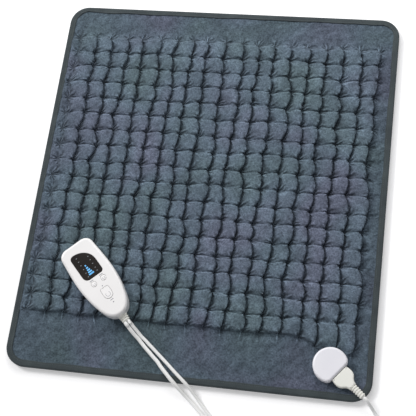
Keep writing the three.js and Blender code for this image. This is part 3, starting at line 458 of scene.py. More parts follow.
def smooth_path(points, spacing=1.5):
    """Centripetal Catmull-Rom curve: between two points runs a cubic whose end directions come from the
    neighbours, weighted by the square roots of the distances, so it makes no cusp or loop there."""
    points = np.array(points, float)
    ends = np.vstack([2 * points[0] - points[1], points, 2 * points[-1] - points[-2]])
    p0, p1, p2, p3 = ends[:-3], ends[1:-2], ends[2:-1], ends[3:]
    t0, t1, t2 = (np.sqrt(np.linalg.norm(b - a, axis=1))[:, None] for a, b in ((p0, p1), (p1, p2), (p2, p3)))
    v1 = ((p1 - p0) / t0 - (p2 - p0) / (t0 + t1) + (p2 - p1) / t1) * t1
    v2 = ((p2 - p1) / t1 - (p3 - p1) / (t1 + t2) + (p3 - p2) / t2) * t1
    steps = max(int(np.ceil(np.linalg.norm(p2 - p1, axis=1).max() / spacing)), 2)
    t = (np.arange(steps) / steps)[None, :, None]
    p1, p2, v1, v2 = (v[:, None, :] for v in (p1, p2, v1, v2))
    curve = (2 * t ** 3 - 3 * t ** 2 + 1) * p1 + (t ** 3 - 2 * t ** 2 + t) * v1
    curve = curve + (3 * t ** 2 - 2 * t ** 3) * p2 + (t ** 3 - t ** 2) * v2
    return evenly(np.vstack([curve.reshape(-1, 3), points[-1]]), spacing)


def coil_path(steps=60):
    """A spiral that goes in and out, layer by layer, a little more than the cord's width for each turn,
    and climbs as much in the half turn where it changes direction."""
    layer_turns = coil_turns / coil_layers
    turns = np.arange(int(coil_turns * steps) + 1) / steps
    into = turns % (2 * layer_turns)
    climbs = sum(np.clip(2 * (turns - layer * layer_turns) + 0.5, 0, 1) for layer in range(1, coil_layers))
    angle = coil_start - 2 * np.pi * turns
    radius = coil_radius - coil_step * np.minimum(into, 2 * layer_turns - into)
    return coil_place + np.column_stack([radius * np.cos(angle), radius * np.sin(angle), coil_step * climbs])


def straight(place, direction, diameter):
    """The first two points of a cord at a fitting, straight for one diameter."""
    face = place + direction * fitting_gap
    return [face, face + direction * diameter]


def length_of(curve):
    return float(np.linalg.norm(np.diff(curve, axis=0), axis=1).sum())


print("the coil is", round(length_of(coil_path())), "mm of cord")

# %% Both cords


def tube(path, radius, sides=16):
    """A circle carried along a path: at each point, cosine times the level direction across the path plus
    sine times the direction square to both, and a flat cap at each end."""
    along = np.gradient(path, axis=0)
    along /= np.linalg.norm(along, axis=1, keepdims=True)
    across = np.cross(along, [0.0, 0.0, 1.0])
    across /= np.linalg.norm(across, axis=1, keepdims=True)
    over = np.cross(across, along)
    turn = np.linspace(0, 2 * np.pi, sides, endpoint=False)[None, :, None]
    return capped(path[:, None] + radius * (np.cos(turn) * across[:, None] + np.sin(turn) * over[:, None]))


gland_end = handset_length + 9.8
along_handset, along_socket, along_plug = (level(at[1]) for at in (handset_at, socket_at, plug_at))
coil = coil_path()
into_coil = -level(coil_start - math.pi / 2)
from_coil = level(coil_start - 2 * math.pi * coil_turns - math.pi / 2)
first_leg = smooth_path(straight(out_of(handset_at, gland_end, -2.75, 8), along_handset, mains_diameter)
                        + list(tail + mains_route)
                        + straight(coil[0] + into_coil * mains_diameter, into_coil, mains_diameter)[::-1]
                        + [coil[0]])
last_leg = smooth_path([coil[-1]] + straight(coil[-1] + from_coil * mains_diameter, from_coil, mains_diameter)
                       + list(tail + plug_route)
                       + straight(plug_at[0] + [0, 0, 8.5], -along_plug, mains_diameter)[::-1])
mains_path = evenly(np.vstack([first_leg[:-1], coil, last_leg[1:]]), 1.5)
lead_path = smooth_path(straight(out_of(handset_at, gland_end, 2.75, 8), along_handset, lead_diameter)
                        + list(tail + lead_route) + list(socket_at[0] + lead_return)
                        + straight(out_of(socket_at, 59.6, 0, 14.2), along_socket, lead_diameter)[::-1])
mains_cord = build("mains_cord", tube(mains_path, mains_diameter / 2))
lead_cord = build("lead_cord", tube(lead_path, lead_diameter / 2))
print("mains lead", round(length_of(mains_path)), "mm, pad lead", round(length_of(lead_path)), "mm")

# %% [markdown]
# ## The quilted cover
#
# The top of the pad is one sheet of short plush, sewn down along 19 lines one way and 18 the other, about
# 25 mm apart, over soft filling. The cloth is fuller than the pad, so it puffs up between the lines and
# puckers along them. That is what a cloth solver works out well: the grid starts as low pillows, its sewn
# lines are held, its threads are set longer than the gaps they span, and a light pressure fills it.
# The solver works on a copy forty times life size, where its default forces suit the sizes.

# %% Unevenness


def ripple(x, y, wavelength, seed, waves=7):
    """Smooth unevenness, mostly from -1 to 1: several sine waves of about one length run in different
    directions, chosen by a seeded generator, and their sum is divided by the root of their number."""
    chance = np.random.default_rng(seed)
    angle, phase = chance.uniform(0, 2 * np.pi, (2, waves))
    stretch = chance.uniform(0.75, 1.3, waves)
    k = 2 * np.pi / wavelength * stretch
    total = sum(np.sin(k[i] * (x * np.cos(angle[i]) + y * np.sin(angle[i])) + phase[i]) for i in range(waves))
    return total / np.sqrt(waves)


def ease(t):
    """Goes smoothly from 0 to 1 as t does: 3 t^2 - 2 t^3."""
    t = np.clip(t, 0, 1)
    return t * t * (3 - 2 * t)


def off(value):
    """How far a value is from the nearest whole number, less than zero below it."""
    return value - np.round(value)


print("ease at a quarter:", ease(0.25))

# %% The sheet's threads
columns, rows, per_puff = 18, 17, 10
quilt_left, quilt_right, quilt_near, quilt_far = -233.3, 223.9, -207.1, 231.5
pitch_x, pitch_y = (quilt_right - quilt_left) / columns, (quilt_far - quilt_near) / rows
sheet_inset = 2.4
half_w, half_d = pad_width / 2 - sheet_inset, pad_depth / 2 - sheet_inset


def threads(half, low, high, puffs, before, after):
    """Places of the threads along one side: even within the quilting and within each margin."""
    within = np.linspace(low, high, puffs * per_puff + 1)
    return np.concatenate([np.linspace(-half, low, before)[:-1], within[:-1], np.linspace(high, half, after)])


sheet_x, sheet_y = np.meshgrid(threads(half_w, quilt_left, quilt_right, columns, 8, 12),
                               threads(half_d, quilt_near, quilt_far, rows, 26, 20))
s, t = (sheet_x - quilt_left) / pitch_x, (sheet_y - quilt_near) / pitch_y
in_s, in_t = s - np.floor(s), t - np.floor(t)
in_quilt = (s > -0.01) & (s < columns + 0.01) & (t > -0.01) & (t < rows + 0.01)
on_column, on_row = in_quilt & (np.abs(off(s)) < 0.01), in_quilt & (np.abs(off(t)) < 0.01)
on_seam = on_column | on_row
from_edge = np.minimum(half_w - np.abs(sheet_x), half_d - np.abs(sheet_y))
print("sheet", sheet_x.shape, "points on seams", int(on_seam.sum()))

# %% Uneven seams


def at_crossings(values):
    """Values given at the crossings of the seams, eased from each crossing to the next."""
    column, row = np.clip(s + 1, 0, columns + 1.99), np.clip(t + 1, 0, rows + 1.99)
    c, r = column.astype(int), row.astype(int)
    a, b = ease(column - c), ease(row - r)
    near_row = values[r, c] * (1 - a) + values[r, c + 1] * a
    far_row = values[r + 1, c] * (1 - a) + values[r + 1, c + 1] * a
    return near_row * (1 - b) + far_row * b


def along_columns(values):
    """Values given for each stretch of a column seam: the same all along the stretch, and going evenly
    from one seam to the next."""
    column, row = np.clip(s + 1, 0, columns + 1.99), np.clip(t + 1, 0, rows + 1.99).astype(int)
    c = column.astype(int)
    return values[row, c] * (1 - column + c) + values[row, c + 1] * (column - c)


chance = np.random.default_rng(7)
table_size = (rows + 3, columns + 3)
shift_x = chance.normal(0, 2.1, table_size).clip(-4.2, 4.2)
shift_y = chance.normal(0, 1.1, table_size).clip(-2.2, 2.2)
bow = chance.uniform(0.1, 1.0, table_size)
calm = ease(from_edge / 30)
outside_quilt = np.hypot(np.clip(np.maximum(-s, s - columns), 0, None) * pitch_x,
                         np.clip(np.maximum(-t, t - rows), 0, None) * pitch_y)
fade = ease(1 - outside_quilt / 15)
flat_x = sheet_x + calm * ripple(sheet_x, sheet_y, 90, 1) + fade * (
    at_crossings(shift_x) + 2.6 * np.sin(np.pi * in_t) * along_columns(bow))
flat_y = sheet_y + calm * ripple(sheet_x, sheet_y, 110, 3) + fade * at_crossings(shift_y)
# Beside the socket the quilting reaches further down the band.
dip = -19 * ease((sheet_x - 143) / 55) * ease((half_w - sheet_x) / 40)
flat_y = flat_y + dip * np.where(sheet_y < quilt_near, ease((sheet_y + half_d) / 70),
                                 ease((quilt_near + 34 - sheet_y) / 34))
print("seams moved by up to", round(float(np.abs(flat_y - sheet_y).max()), 1), "mm")

# %% Low pillows to start from
bulge = (1 - np.abs(2 * in_s - 1) ** 3) * (1 - np.abs(2 * in_t - 1) ** 3)
row_share = np.where(t < 0.01, 0.25, np.where(t > rows - 0.01, 0.6, 1))
seam_arch = 6.2 * np.abs(np.sin(np.pi * s)) ** 0.75 * row_share * (1 + 0.25 * ripple(flat_x, flat_y, 31, 6))
cell_seed = np.sin(np.floor(s) * 12.9898 + np.floor(t) * 78.233) * 43758.5453
fullness = 2.6 + 2.2 * (cell_seed - np.floor(cell_seed))
height = np.where(in_quilt, band_z + 0.1 + seam_arch + bulge * fullness, band_z)
height = height + np.where(on_seam, 0, 0.5 * ripple(flat_x, flat_y, 9, 5) * np.where(in_quilt, 1, 0.25))
height = np.where(on_column, band_z + 0.1, height)
held = on_seam | (from_edge < 7)
sheet_points, sheet_faces = grid(np.stack([flat_x, flat_y, height], -1), wrap_columns=False)
print("pillows from", round(float(height.min()), 2), "to", round(float(height.max()), 2), "mm")

# %% Fill it with the cloth solver


def puffed(points, faces, held, still, frames=20, scale=0.04):
    """Runs Blender's cloth on a copy forty times life size and returns where its points end: held points
    stay, threads are longer than their gaps except where the sheet is still, and pressure lifts it."""
    copy = show("cover_in_solver", mesh_from("cover_in_solver", points * scale, [faces]))
    for name, chosen in (("held", held), ("still", still), ("puffs", ~still)):
        copy.vertex_groups.new(name=name).add(np.flatnonzero(chosen).tolist(), 1.0, "REPLACE")
    cloth = copy.modifiers.new("cloth", "CLOTH")
    rules = dict(quality=4, mass=0.12, air_damping=3.0, tension_stiffness=12, compression_stiffness=12,
                 shear_stiffness=6, bending_stiffness=0.35, vertex_group_mass="held",
                 vertex_group_shrink="still", shrink_min=-0.10, shrink_max=-0.01, use_pressure=True,
                 uniform_pressure_force=9, vertex_group_pressure="puffs")
    for rule, value in rules.items():
        setattr(cloth.settings, rule, value)
    cloth.settings.effector_weights.gravity = 0
    cloth.collision_settings.use_collision = False
    cloth.point_cache.frame_start, cloth.point_cache.frame_end = 1, frames
    for number in range(1, frames + 1):
        bpy.context.scene.frame_set(number)
    solved = copy.evaluated_get(bpy.context.evaluated_depsgraph_get())
    result = np.empty(len(points) * 3, np.float32)
    solved.data.vertices.foreach_get("co", result)
    bpy.data.objects.remove(copy)
    bpy.context.scene.frame_set(1)
    return result.reshape(-1, 3) / scale


filled = puffed(sheet_points, sheet_faces, held.ravel(), ~in_quilt.ravel())
print("the solver moved points by up to", np.abs(filled - sheet_points).max(0).round(1), "mm")

# %% [markdown]
# ## From the solved sheet to the cover
#
# The solver gives even pillows. On the real pad each one is low on its left and rises to a ridge on its
# right, which leans over the seam. Those under the handset are pressed flat, and the sheet runs flat under
# the socket. These are plain changes to the points: a lean grows with height, short pleats run out from
# the crossings, and the height is held below what lies on it.

# %% Ridges, pleats and creases
shape = filled.reshape(*s.shape, 3).copy()
full_height, seam_rise = 9.6, 0.2
rise = np.clip((shape[..., 2] - band_z - seam_rise) / full_height, 0, None)
ridge = 0.42 + 0.72 * ease(in_s * 1.2)
steep = 0.95 - 0.4 * ease(in_s * 1.6 - 0.5)
shape[..., 2] = np.where(in_quilt, band_z + seam_rise + full_height * ridge * rise ** steep, shape[..., 2])
from_crossing = np.hypot(off(s) * pitch_x, off(t) * pitch_y)
pleats = np.sin(7 * np.arctan2(off(t), off(s)) + 6 * at_crossings(chance.uniform(0, 1, table_size)))
pleats = pleats * (from_crossing / 5) * np.exp(1 - from_crossing / 5) * np.where(in_quilt, 1, 0.5 * fade)
in_rows, in_columns = (t > 0) & (t < rows), (s > 0) & (s < columns)
left_margin = np.sin(np.pi * np.clip((sheet_x + half_w) / (quilt_left + half_w), 0, 1))
right_margin = np.exp(-(s - columns) * 2.2) * ease((s - columns) * 9)
far_margin = np.exp(-(t - rows) * 2.6) * ease((t - rows) * 7)
side_folds = np.where((s < 0) & in_rows, left_margin, 0) + np.where((s > columns) & in_rows, right_margin, 0)
side_folds = side_folds * (0.2 + 0.8 * np.abs(np.sin(np.pi * t)) ** 0.6)
far_folds = np.where((t > rows) & in_columns, far_margin, 0)
far_folds = far_folds * (0.15 + 0.85 * np.abs(np.sin(np.pi * s)) ** 0.5)
uneven = 0.55 * ripple(flat_x, flat_y, 9, 5) * fade + ripple(flat_x, flat_y, 17, 8) * (0.3 + 0.4 * fade)
free = np.where(held, 0, 1) * ease(from_edge / 14)
shape[..., 2] += free * (0.8 * pleats + uneven + 3.6 * side_folds + 3.0 * far_folds)
print("folds up to", round(float((3.6 * side_folds).max()), 1), "mm high in the margins")

# %% Lean and top limit
lifted = np.maximum(shape[..., 2] - band_z - 0.8, 0) * ease((s + 0.3) / 0.5) * ease((columns + 0.3 - s) / 0.5)
shape[..., 0] += (0.22 + 0.3 * ease(in_s * 2 - 0.7)) * lifted
shape[..., 1] -= 0.06 * lifted
top_limit, soft_range = 17.4, 1.5
over = shape[..., 2] - top_limit + soft_range
shape[..., 2] = np.where(over > 0, top_limit - soft_range * np.exp(-over / soft_range), shape[..., 2])
print("leaned by up to", round(float(lifted.max() * 0.52), 1), "mm")

# %% Handset outline


def handset_outline(steps=1):
    """Half the handset's outline from the head to the tail, then its mirror image: a straight head, a
    round corner, and three Bezier curves past the belly and the shoulder to a blunt round tail."""
    belly, shoulder = 0.437 * handset_length, 0.746 * handset_length
    corner = 13
    reach, drop, end = (0.33 * gap for gap in (belly - corner, shoulder - belly, handset_length - shoulder))
    half = joined(
        np.linspace((0.0, 0.0), (0.0, corner), 4),
        arc((corner, corner), corner, 180, 90, 12 * steps),
        bezier((corner, 26), (corner + reach, 27), (belly - reach, 28.6), (belly, 28.6), 14 * steps),
        bezier((belly, 28.6), (belly + drop, 28.6), (shoulder - drop, 27.3), (shoulder, 24.4), 14 * steps),
        bezier((shoulder, 24.4), (shoulder + end, 21.5), (handset_length, 18.5), (handset_length, 0),
               22 * steps))
    return np.vstack([half, half[::-1][1:-1] * [1, -1]])[::-1]


def distance_outside(x, y, outline):
    """Distance from points to a closed outline, less than zero inside: the least distance to any of its
    edges, with its sign from the number of edges that a ray crosses."""
    a, b = outline, np.roll(outline, -1, 0)
    px, py = x[:, None], y[:, None]
    edge = b - a
    along = ((px - a[:, 0]) * edge[:, 0] + (py - a[:, 1]) * edge[:, 1]) / (edge ** 2).sum(1)
    along = np.clip(along, 0, 1)
    near = np.hypot(px - a[:, 0] - along * edge[:, 0], py - a[:, 1] - along * edge[:, 1]).min(1)
    crosses = (a[:, 1] > py) != (b[:, 1] > py)
    slope = edge[:, 0] / np.where(edge[:, 1] == 0, 1e-9, edge[:, 1])
    inside = (crosses & (px < a[:, 0] + (py - a[:, 1]) * slope)).sum(1) % 2 == 1
    return np.where(inside, -near, near)


print(len(handset_outline()), "points round the handset")

# %% Press down under the handset and the socket
cloth_points = shape.reshape(-1, 3)
from_head = (cloth_points - handset_at[0])[:, :2]
local_x = from_head @ along_handset[:2]
local_y = from_head @ level(handset_at[1] + math.pi / 2)[:2]
near_handset = (local_x > -25) & (local_x < handset_length + 25) & (np.abs(local_y) < 55)
outside = np.full(len(cloth_points), 99.0)
outside[near_handset] = distance_outside(local_x[near_handset], local_y[near_handset], handset_outline())
handset_rest, rim_round = 12.25, 4
rim_lift = rim_round - np.sqrt(rim_round ** 2 - np.clip(outside + rim_round, 0, rim_round) ** 2)
allowed = handset_rest + rim_lift + 1.1 * np.maximum(outside, 0)
socket_clear, lowest_cloth = 25.5, 7.7
from_socket = np.hypot(*(cloth_points - socket_at[0])[:, :2].T)
allowed = np.minimum(allowed, band_z + 1.3 * np.maximum(from_socket - socket_clear, 0))
cloth_points[:, 2] = np.maximum(np.minimum(cloth_points[:, 2], allowed), lowest_cloth)
print("cover from", cloth_points.min(0).round(1), "to", cloth_points.max(0).round(1))

# %% [markdown]
# ### The cover as a mesh
#
# Quads outside the round corners are left out. Each edge that only one quad uses is on the rim, where a
# low skirt goes down and a hem goes inwards below, out of sight inside the binding. The new points take
# over the values of the rim points above them.

# %% Keep the quads inside, hang the skirt and the hem


def beyond_corners(x, y, half_x, half_y, radius):
    """Distance outside a rectangle with round corners: that to the inner rectangle of the corners'
    centres, less the radius."""
    qx, qy = np.abs(x) - (half_x - radius), np.abs(y) - (half_y - radius)
    return np.hypot(np.maximum(qx, 0), np.maximum(qy, 0)) + np.minimum(np.maximum(qx, qy), 0) - radius


beyond = beyond_corners(sheet_x, sheet_y, pad_width / 2, pad_depth / 2, pad_corner).ravel()
kept = (beyond[sheet_faces] < -sheet_inset + 0.05).all(1)
used = np.unique(sheet_faces[kept])
top_quads = np.searchsorted(used, sheet_faces[kept])
a, b = top_quads.ravel(), np.roll(top_quads, -1, 1).ravel()
alone = ~np.isin(a * len(used) + b, b * len(used) + a)
a, b = a[alone], b[alone]
rim = np.unique(a)
low_a, low_b = np.searchsorted(rim, a) + len(used), np.searchsorted(rim, b) + len(used)
skirt = np.stack([b, a, low_a, low_b], -1)
hem = np.stack([low_b, low_a, low_a + len(rim), low_b + len(rim)], -1)
skirt_z = 7.1
skirt_points = cloth_points[used[rim]] * [1, 1, 0] + [0, 0, skirt_z]
cover_points = np.vstack([cloth_points[used], skirt_points, skirt_points * [0.95, 0.955, 1]])
cover_quads = np.vstack([top_quads, skirt, hem])
source = np.concatenate([used, used[rim], used[rim]])
print(len(top_quads), "quads on top,", len(rim), "on the rim")

# %% Cover piece with its puff places
cover_mesh = mesh_from("plush_cover", cover_points * MM, [cover_quads])
edge_ends = np.empty(len(cover_mesh.edges) * 2, np.int32)
cover_mesh.edges.foreach_get("vertices", edge_ends)
edge_ends = edge_ends.reshape(-1, 2)
crease = np.zeros(len(edge_ends), np.float32)
for seam, sharpness in ((on_column, 0.8), (on_row, 0.6)):
    crease = np.maximum(crease, sharpness * seam.ravel()[source][edge_ends].all(1))
cover_mesh.attributes.new("crease_edge", "FLOAT", "EDGE").data.foreach_set("value", crease.astype(np.float32))
puff_places = np.column_stack([s.ravel(), t.ravel()])[source].astype(np.float32)
cover_mesh.uv_layers.new(name="puffs").data.foreach_set("uv", puff_places[cover_quads.ravel()].ravel())
quilted_points = cover_mesh.attributes.new("quilted", "FLOAT", "POINT").data
quilted_points.foreach_set("value", fade.ravel()[source].astype(np.float32))
cover = show("plush_cover", cover_mesh)
finer = cover.modifiers.new("finer", "SUBSURF")
finer.levels = finer.render_levels = 1
print(len(cover_mesh.polygons), "faces in the cover before it is made finer")

# %% [markdown]
# ### Short plush
#
# The cloth is a brushed polyester plush, often called minky: a knit with a dense pile about 2 mm long.
# Its colour drifts between blue-grey, a purplish grey and a greenish grey where the pile has been stroked
# one way or the other, in patches about a hand wide, with smaller strokes over them and a grain of about
# 2 mm. On the right of each column seam lies a wedge of painted shadow, as the ridge on its left would
# cast it, widening towards the near corner. Painted pale highlights run along that ridge's edge and,
# fainter, beside each row seam. Painted shade also lies in the row seams, in the hollows at the crossings
# and over the right side of each puff. The mesh carries a place in puffs, whose whole numbers are the
# seams, so the shader knows how far it is from each. Short creases run out from the crossings, also into
# the margins: they go into the bump, and painted light and shade follow them.

# %% Where on a puff
plush = Recipe("brushed_polyester_plush")
place = plush.value("ShaderNodeUVMap", "UV", {"uv_map": "puffs"})
across, along = (plush.value("ShaderNodeSeparateXYZ", axis, i0=place) for axis in ("X", "Y"))
quilted = plush.value("ShaderNodeAttribute", "Fac", {"attribute_name": "quilted"})
off_column, off_row = across - across.math("ROUND"), along - along.math("ROUND")
in_column, in_row = across.math("FRACT"), along.math("FRACT")
from_pit = ((off_column - 0.05) ** 2.0 + (off_row - 0.06) ** 2.0).math("SQRT")
past_grid = (across * -1.0).max(across - columns).max(along - rows)
print("plush reads", quilted.socket.node.attribute_name, "and", place.socket.node.uv_map)

# %% Painted shadow wedges, highlights, shade and creases


def plush_range(value, low, high):
    return plush.between(value, low, high, 0.32, 0.68)


strokes = plush.noise(METRE / 75, 4.0, 0.62, 0.8)
# Painted shadow in a wedge on the right of each column seam, widest towards its near end, as cast by the
# ridge on its left.
shadow_wedge_reach = (1.0 - in_row) ** 1.5 * 0.7 + 0.24
shadow_wedge = plush.fall(in_column, 0.01, shadow_wedge_reach) ** 1.2
shadow_wedge = shadow_wedge * plush_range(plush.noise(METRE / 48, 2.0, 0.55), 0.6, 1.08)
# Painted highlights: a pale line along each ridge's edge left of a column seam, and a fainter one beside each
# row seam.
column_highlight = plush.fall(abs(in_column - 0.945), 0.012, 0.045) * across.math("GREATER_THAN", 0.0)
row_highlight = plush.fall(abs(off_row + 0.068), 0.014, 0.052)
# Painted shade along the row seams and in the hollows at the crossings.
row_seam = plush.fall(abs(off_row), 0.008, 0.055)
pit = plush.fall(from_pit, 0.03, 0.36)
# Creases from the crossings: they go into the bump, and below they also paint light and shade into the
# colour.
crease_angle = off_row.math("ARCTAN2", off_column) * 8.0 + plush.noise(METRE / 34, 2.0, 0.55) * 26.0
creases = crease_angle.math("SINE") * plush.fall(from_pit, 0.2, 0.55) * (1.0 - pit * 0.6)
creases = creases * plush.fall(past_grid, 0.1, 1.1) * along.math("GREATER_THAN", 0.0)
# The painted shade, the painted highlights and painted shade over the right side of each puff, in one value.
painted_shade = (shadow_wedge * 0.6).max(row_seam * 0.1).max(pit * 0.45)
pale = (column_highlight * 1.2).max(row_highlight * 0.2)
right_side = plush.fall(1.0 - in_column, 0.12, 0.42)
painted_light_and_shade = pale * plush_range(strokes, 0.3, 1.4) - painted_shade - right_side * 0.16
print("relief and creases ready")

# %% Plush colour and surface
pile = plush.noise(METRE / 430, 2.0, 0.7)
shade = plush_range(strokes, 0.78, 1.2) * plush_range(pile, 0.62, 1.38) * (quilted * 0.23 + 0.77)
shade = shade * plush_range(plush.noise(METRE / 30, 3.0, 0.55), 0.86, 1.1)
# The painted light and shade of the puffs and creases lighten and darken the colour here.
shade = shade * (painted_light_and_shade * quilted + creases * 0.38 + 1.0)
patches = attach(plush.tree, "ShaderNodeValToRGB", None, {"Fac": plush.noise(METRE / 9, 1.5, 0.5, 0.3)})
stops = patches.color_ramp.elements
stops[0].position, stops[0].color = 0.34, linear("#58686f")
stops[1].position, stops[1].color = 0.68, linear("#606677")
stops.new(0.5).color = linear("#5c6a77")
colour = plush.value("ShaderNodeVectorMath", 0, {"operation": "SCALE"}, i0=Value(patches.outputs["Color"]),
                     Scale=shade)
# Cover: polyester plush, knitted, its loops cut and brushed up.
paint(cover, plush.principled(
    Base_Color=colour, Roughness=0.95, Specular_IOR_Level=0.15, Sheen_Weight=0.35, Sheen_Roughness=0.4,
    Sheen_Tint=linear("#b3c2d2"), Normal=plush.bump(strokes * 1.5 + pile + creases * 1.6, 0.9, 0.7)))
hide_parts("top_cover")
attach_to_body(cover, root)
print("plush on", cover.name)

# %% [markdown]
# ## Edge binding
#
# A woven tape about 9 mm wide is folded round the pad's edge and sewn down. Its section is a C, carried
# round the pad's outline. The tape is a little uneven: its inner edge wanders and it puckers slightly. The
# stitches are small capsules laid end to end along a shallow groove.

# %% The tape


def rounded_rectangle(half_x, half_y, radius, spacing):
    """Outline of a rectangle with round corners, counterclockwise, its points one spacing apart."""
    x, y = half_x - radius, half_y - radius
    corners = (((x, y), 0), ((-x, y), 90), ((-x, -y), 180), ((x, -y), 270))
    loop = np.concatenate([arc(centre, radius, start, start + 90, 24) for centre, start in corners])
    return evenly(np.vstack([loop, loop[:1]]), spacing)[:-1]


def around(outline):
    """Distance along a closed outline to each point, and once more to the first one."""
    steps = np.linalg.norm(np.roll(outline, -1, 0) - outline, axis=1)
    return np.concatenate([[0], np.cumsum(steps)])


def give_uv(mesh, u, v):
    """Flat coordinates in metres for a mesh that is one grid of rows x columns closed both ways: u runs
    along the columns and v along the rows, and both go on past the join."""
    across_count, up_count = len(u) - 1, len(v) - 1
    left, right = np.tile(u[:-1], up_count), np.tile(u[1:], up_count)
    low, high = np.repeat(v[:-1], across_count), np.repeat(v[1:], across_count)
    corners = np.stack([left, low, right, low, right, high, left, high], -1).astype(np.float32)
    mesh.uv_layers.new(name="weave").data.foreach_set("uv", corners.ravel() * MM)


pad_outline = rounded_rectangle(pad_width / 2, pad_depth / 2, pad_corner, 2.6)
tape_profile = (
    [(9.0, 0.45), (8.4, 0.02), (5.0, 0.0)] + quarter(2.0, 2.0, 2.0, -90, 6) + [(0, 4.75)]
    + quarter(2.0, 7.5, 2.0, 0, 6)
    + [(3.6, 9.5), (5.4, 9.5), (6.1, 9.46), (6.6, 9.22), (7.1, 9.46), (7.7, 9.5), (8.5, 9.44), (8.9, 9.2),
       (9.0, 8.9), (8.7, 8.62), (5.0, 8.6), (2.1, 8.6), (0.9, 7.5), (0.9, 2.0), (2.1, 0.9), (8.5, 0.9)])
tape_points = carried(pad_outline, tape_profile)
inset, tape_z = np.array(tape_profile).T[..., None]
wander = 0.45 * ripple(*pad_outline.T, 70, 11) + 0.2 * ripple(*pad_outline.T, 17, 12)
tape_points[..., :2] -= (wander * ease((inset - 2) / 6))[..., None] * ring_normals(pad_outline)
tape_points[..., 2] += 0.14 * ripple(*pad_outline.T, 11, 13) * (tape_z > 8.3) * ease((inset - 1) / 4)
tape_block = grid(tape_points, wrap_rows=True)
tape_mesh = mesh_from("edge_binding_tape", tape_block[0] * MM, [tape_block[1]])
give_uv(tape_mesh, around(pad_outline), around(np.array(tape_profile)))
tape = show("edge_binding_tape", tape_mesh)
print(len(tape_mesh.polygons), "faces in the tape")

# %% Stitches


def capsules(places, along, length, thickness, sag):
    """Many small level capsules in one block: five rings of six points each, swollen in the middle, whose
    ends bend down by the sag, and two flat faces on each end."""
    up = np.array([0.0, 0.0, 1.0])
    at = np.array([-1, -0.7, 0, 0.7, 1.0])
    swell = np.array([0.35, 0.85, 1, 0.85, 0.35]) * thickness / 2
    angle = np.arange(6) * np.pi / 3
    side = np.cross(along, up)
    rings = (places[:, None, None] + along[:, None, None] * (at * length / 2)[None, :, None, None]
             + side[:, None, None] * (swell[:, None] * np.cos(angle))[None, ..., None]
             + up * (swell[:, None] * np.sin(angle) - sag * (at ** 2)[:, None])[None, ..., None])
    ends = np.array([[0, 1, 2, 3], [0, 3, 4, 5]])
    one = np.vstack([grid(rings[0])[1], ends, ends + 24])
    faces = one[None] + 30 * np.arange(len(places))[:, None, None]
    return rings.reshape(-1, 3), faces.reshape(-1, 4)


groove_inset = 6.6
seam_line = carried(pad_outline, [(groove_inset, 9.3)])[0]
seam_line[:, :2] -= (wander * ease((groove_inset - 2) / 6))[:, None] * ring_normals(pad_outline)
seam_line = evenly(np.vstack([seam_line, seam_line[:1]]), 1.5)[:-1]
stitch_along = (np.roll(seam_line, -1, 0) - np.roll(seam_line, 1, 0))[::2]
stitch_along /= np.linalg.norm(stitch_along, axis=1, keepdims=True)
stitches = build("binding_stitches", [capsules(seam_line[::2], stitch_along, 2.5, 0.55, 0.32)], sharp=60)
print(len(stitch_along), "stitches")

# %% [markdown]
# ## Layers inside the pad
#
# Back fabric, felt with the heating wire on it, and batting lie under the cover. They are flat sheets, so
# each is its outline twice, joined by a wall.

# %% Back fabric, felt and batting


def plate(outline, low, high, holes=(), edge=0.0):
    """A flat piece between two heights with upright walls and holes, its outer edges cut off by a little."""
    outer = carried(outline, [(edge, low), (0, low + edge), (0, high - edge), (edge, high)])
    ends = ((low, outer[0]), (high, outer[-1]))
    return [grid(outer), *[fill(ring, *[spread(hole, z) for hole in holes]) for z, ring in ends],
            *[grid(carried(hole, [(0, low), (0, high)])) for hole in holes]]


def inside_pad(drawn):
    return rounded_rectangle(pad_width / 2 - drawn, pad_depth / 2 - drawn, pad_corner - drawn, 6)


under_socket = circle(socket_at[0][:2], 20.3, 96)
batting_sheet = build("fibre_batting", plate(inside_pad(2.6), 5.3, 6.8, [under_socket], 0.5))
felt_sheet = build("felt_carrier", plate(inside_pad(20), 2.3, 2.9, edge=0.2))
back_rows = [(7.0, 0.03), (6.7, 0.9), (0.2, 1.15), (0, 1.4), (0, 1.7), (0.3, 2.0), (9, 2.0)]
back_sheet = build("backing_cloth", capped(carried(inside_pad(2.4), back_rows)))
print("three layers under the cover")

# %% [markdown]
# ## Handset
#
# Two moulded shells meet at a fine seam. The outline is the one that pressed the puffs down above. The top
# has a window with a step for the lens and three key openings, each with a small chamfer. Every key is
# square towards the head and round towards the tail, with a flange under the shell, and its top slopes up
# to the tail.

# %% Outlines on the handset
window_outline = joined(
    np.linspace((21.0, -15.1), (50.968, -15.1), 9),
    arc((50.968, -7.1), 8, -90, 0, 12),
    np.linspace((58.968, -7.1), (58.968, 10.6), 6),
    arc((54.468, 10.6), 4.5, 0, 90, 10),
    np.linspace((54.468, 15.1), (38.052, 15.1), 6),
    arc((38.052, -9.5), (22.652, 24.6), 90, 180, 28),
    arc((21.0, -9.5), 5.6, 180, 270, 10))
# Each key's start, length, middle and width.
key_forms = {"temperature": (64.386, 7.6, -7.0, 7.2), "timer": (64.386, 7.6, 9.0, 7.2),
             "power": (80.514, 18.0, 1.2, 12.8)}


def key_outline(start, length, y, width, corner=2.4):
    """A rectangle whose tail end is a half circle and whose other two corners are round."""
    half, round_x, head = width / 2, start + length - width / 2, start + corner
    return joined(
        arc((round_x, y), half, -90, 90, 32),
        np.linspace((round_x, y + half), (head, y + half), 5),
        arc((head, y + half - corner), corner, 90, 180, 10),
        arc((head, y - half + corner), corner, 180, 270, 10),
        np.linspace((head, y - half), (round_x, y - half), 5))


def outset(outline, amount, z):
    """The outline moved outwards, at a height."""
    return spread(outline + ring_normals(outline) * amount, z)


print(len(window_outline), "points round the window")

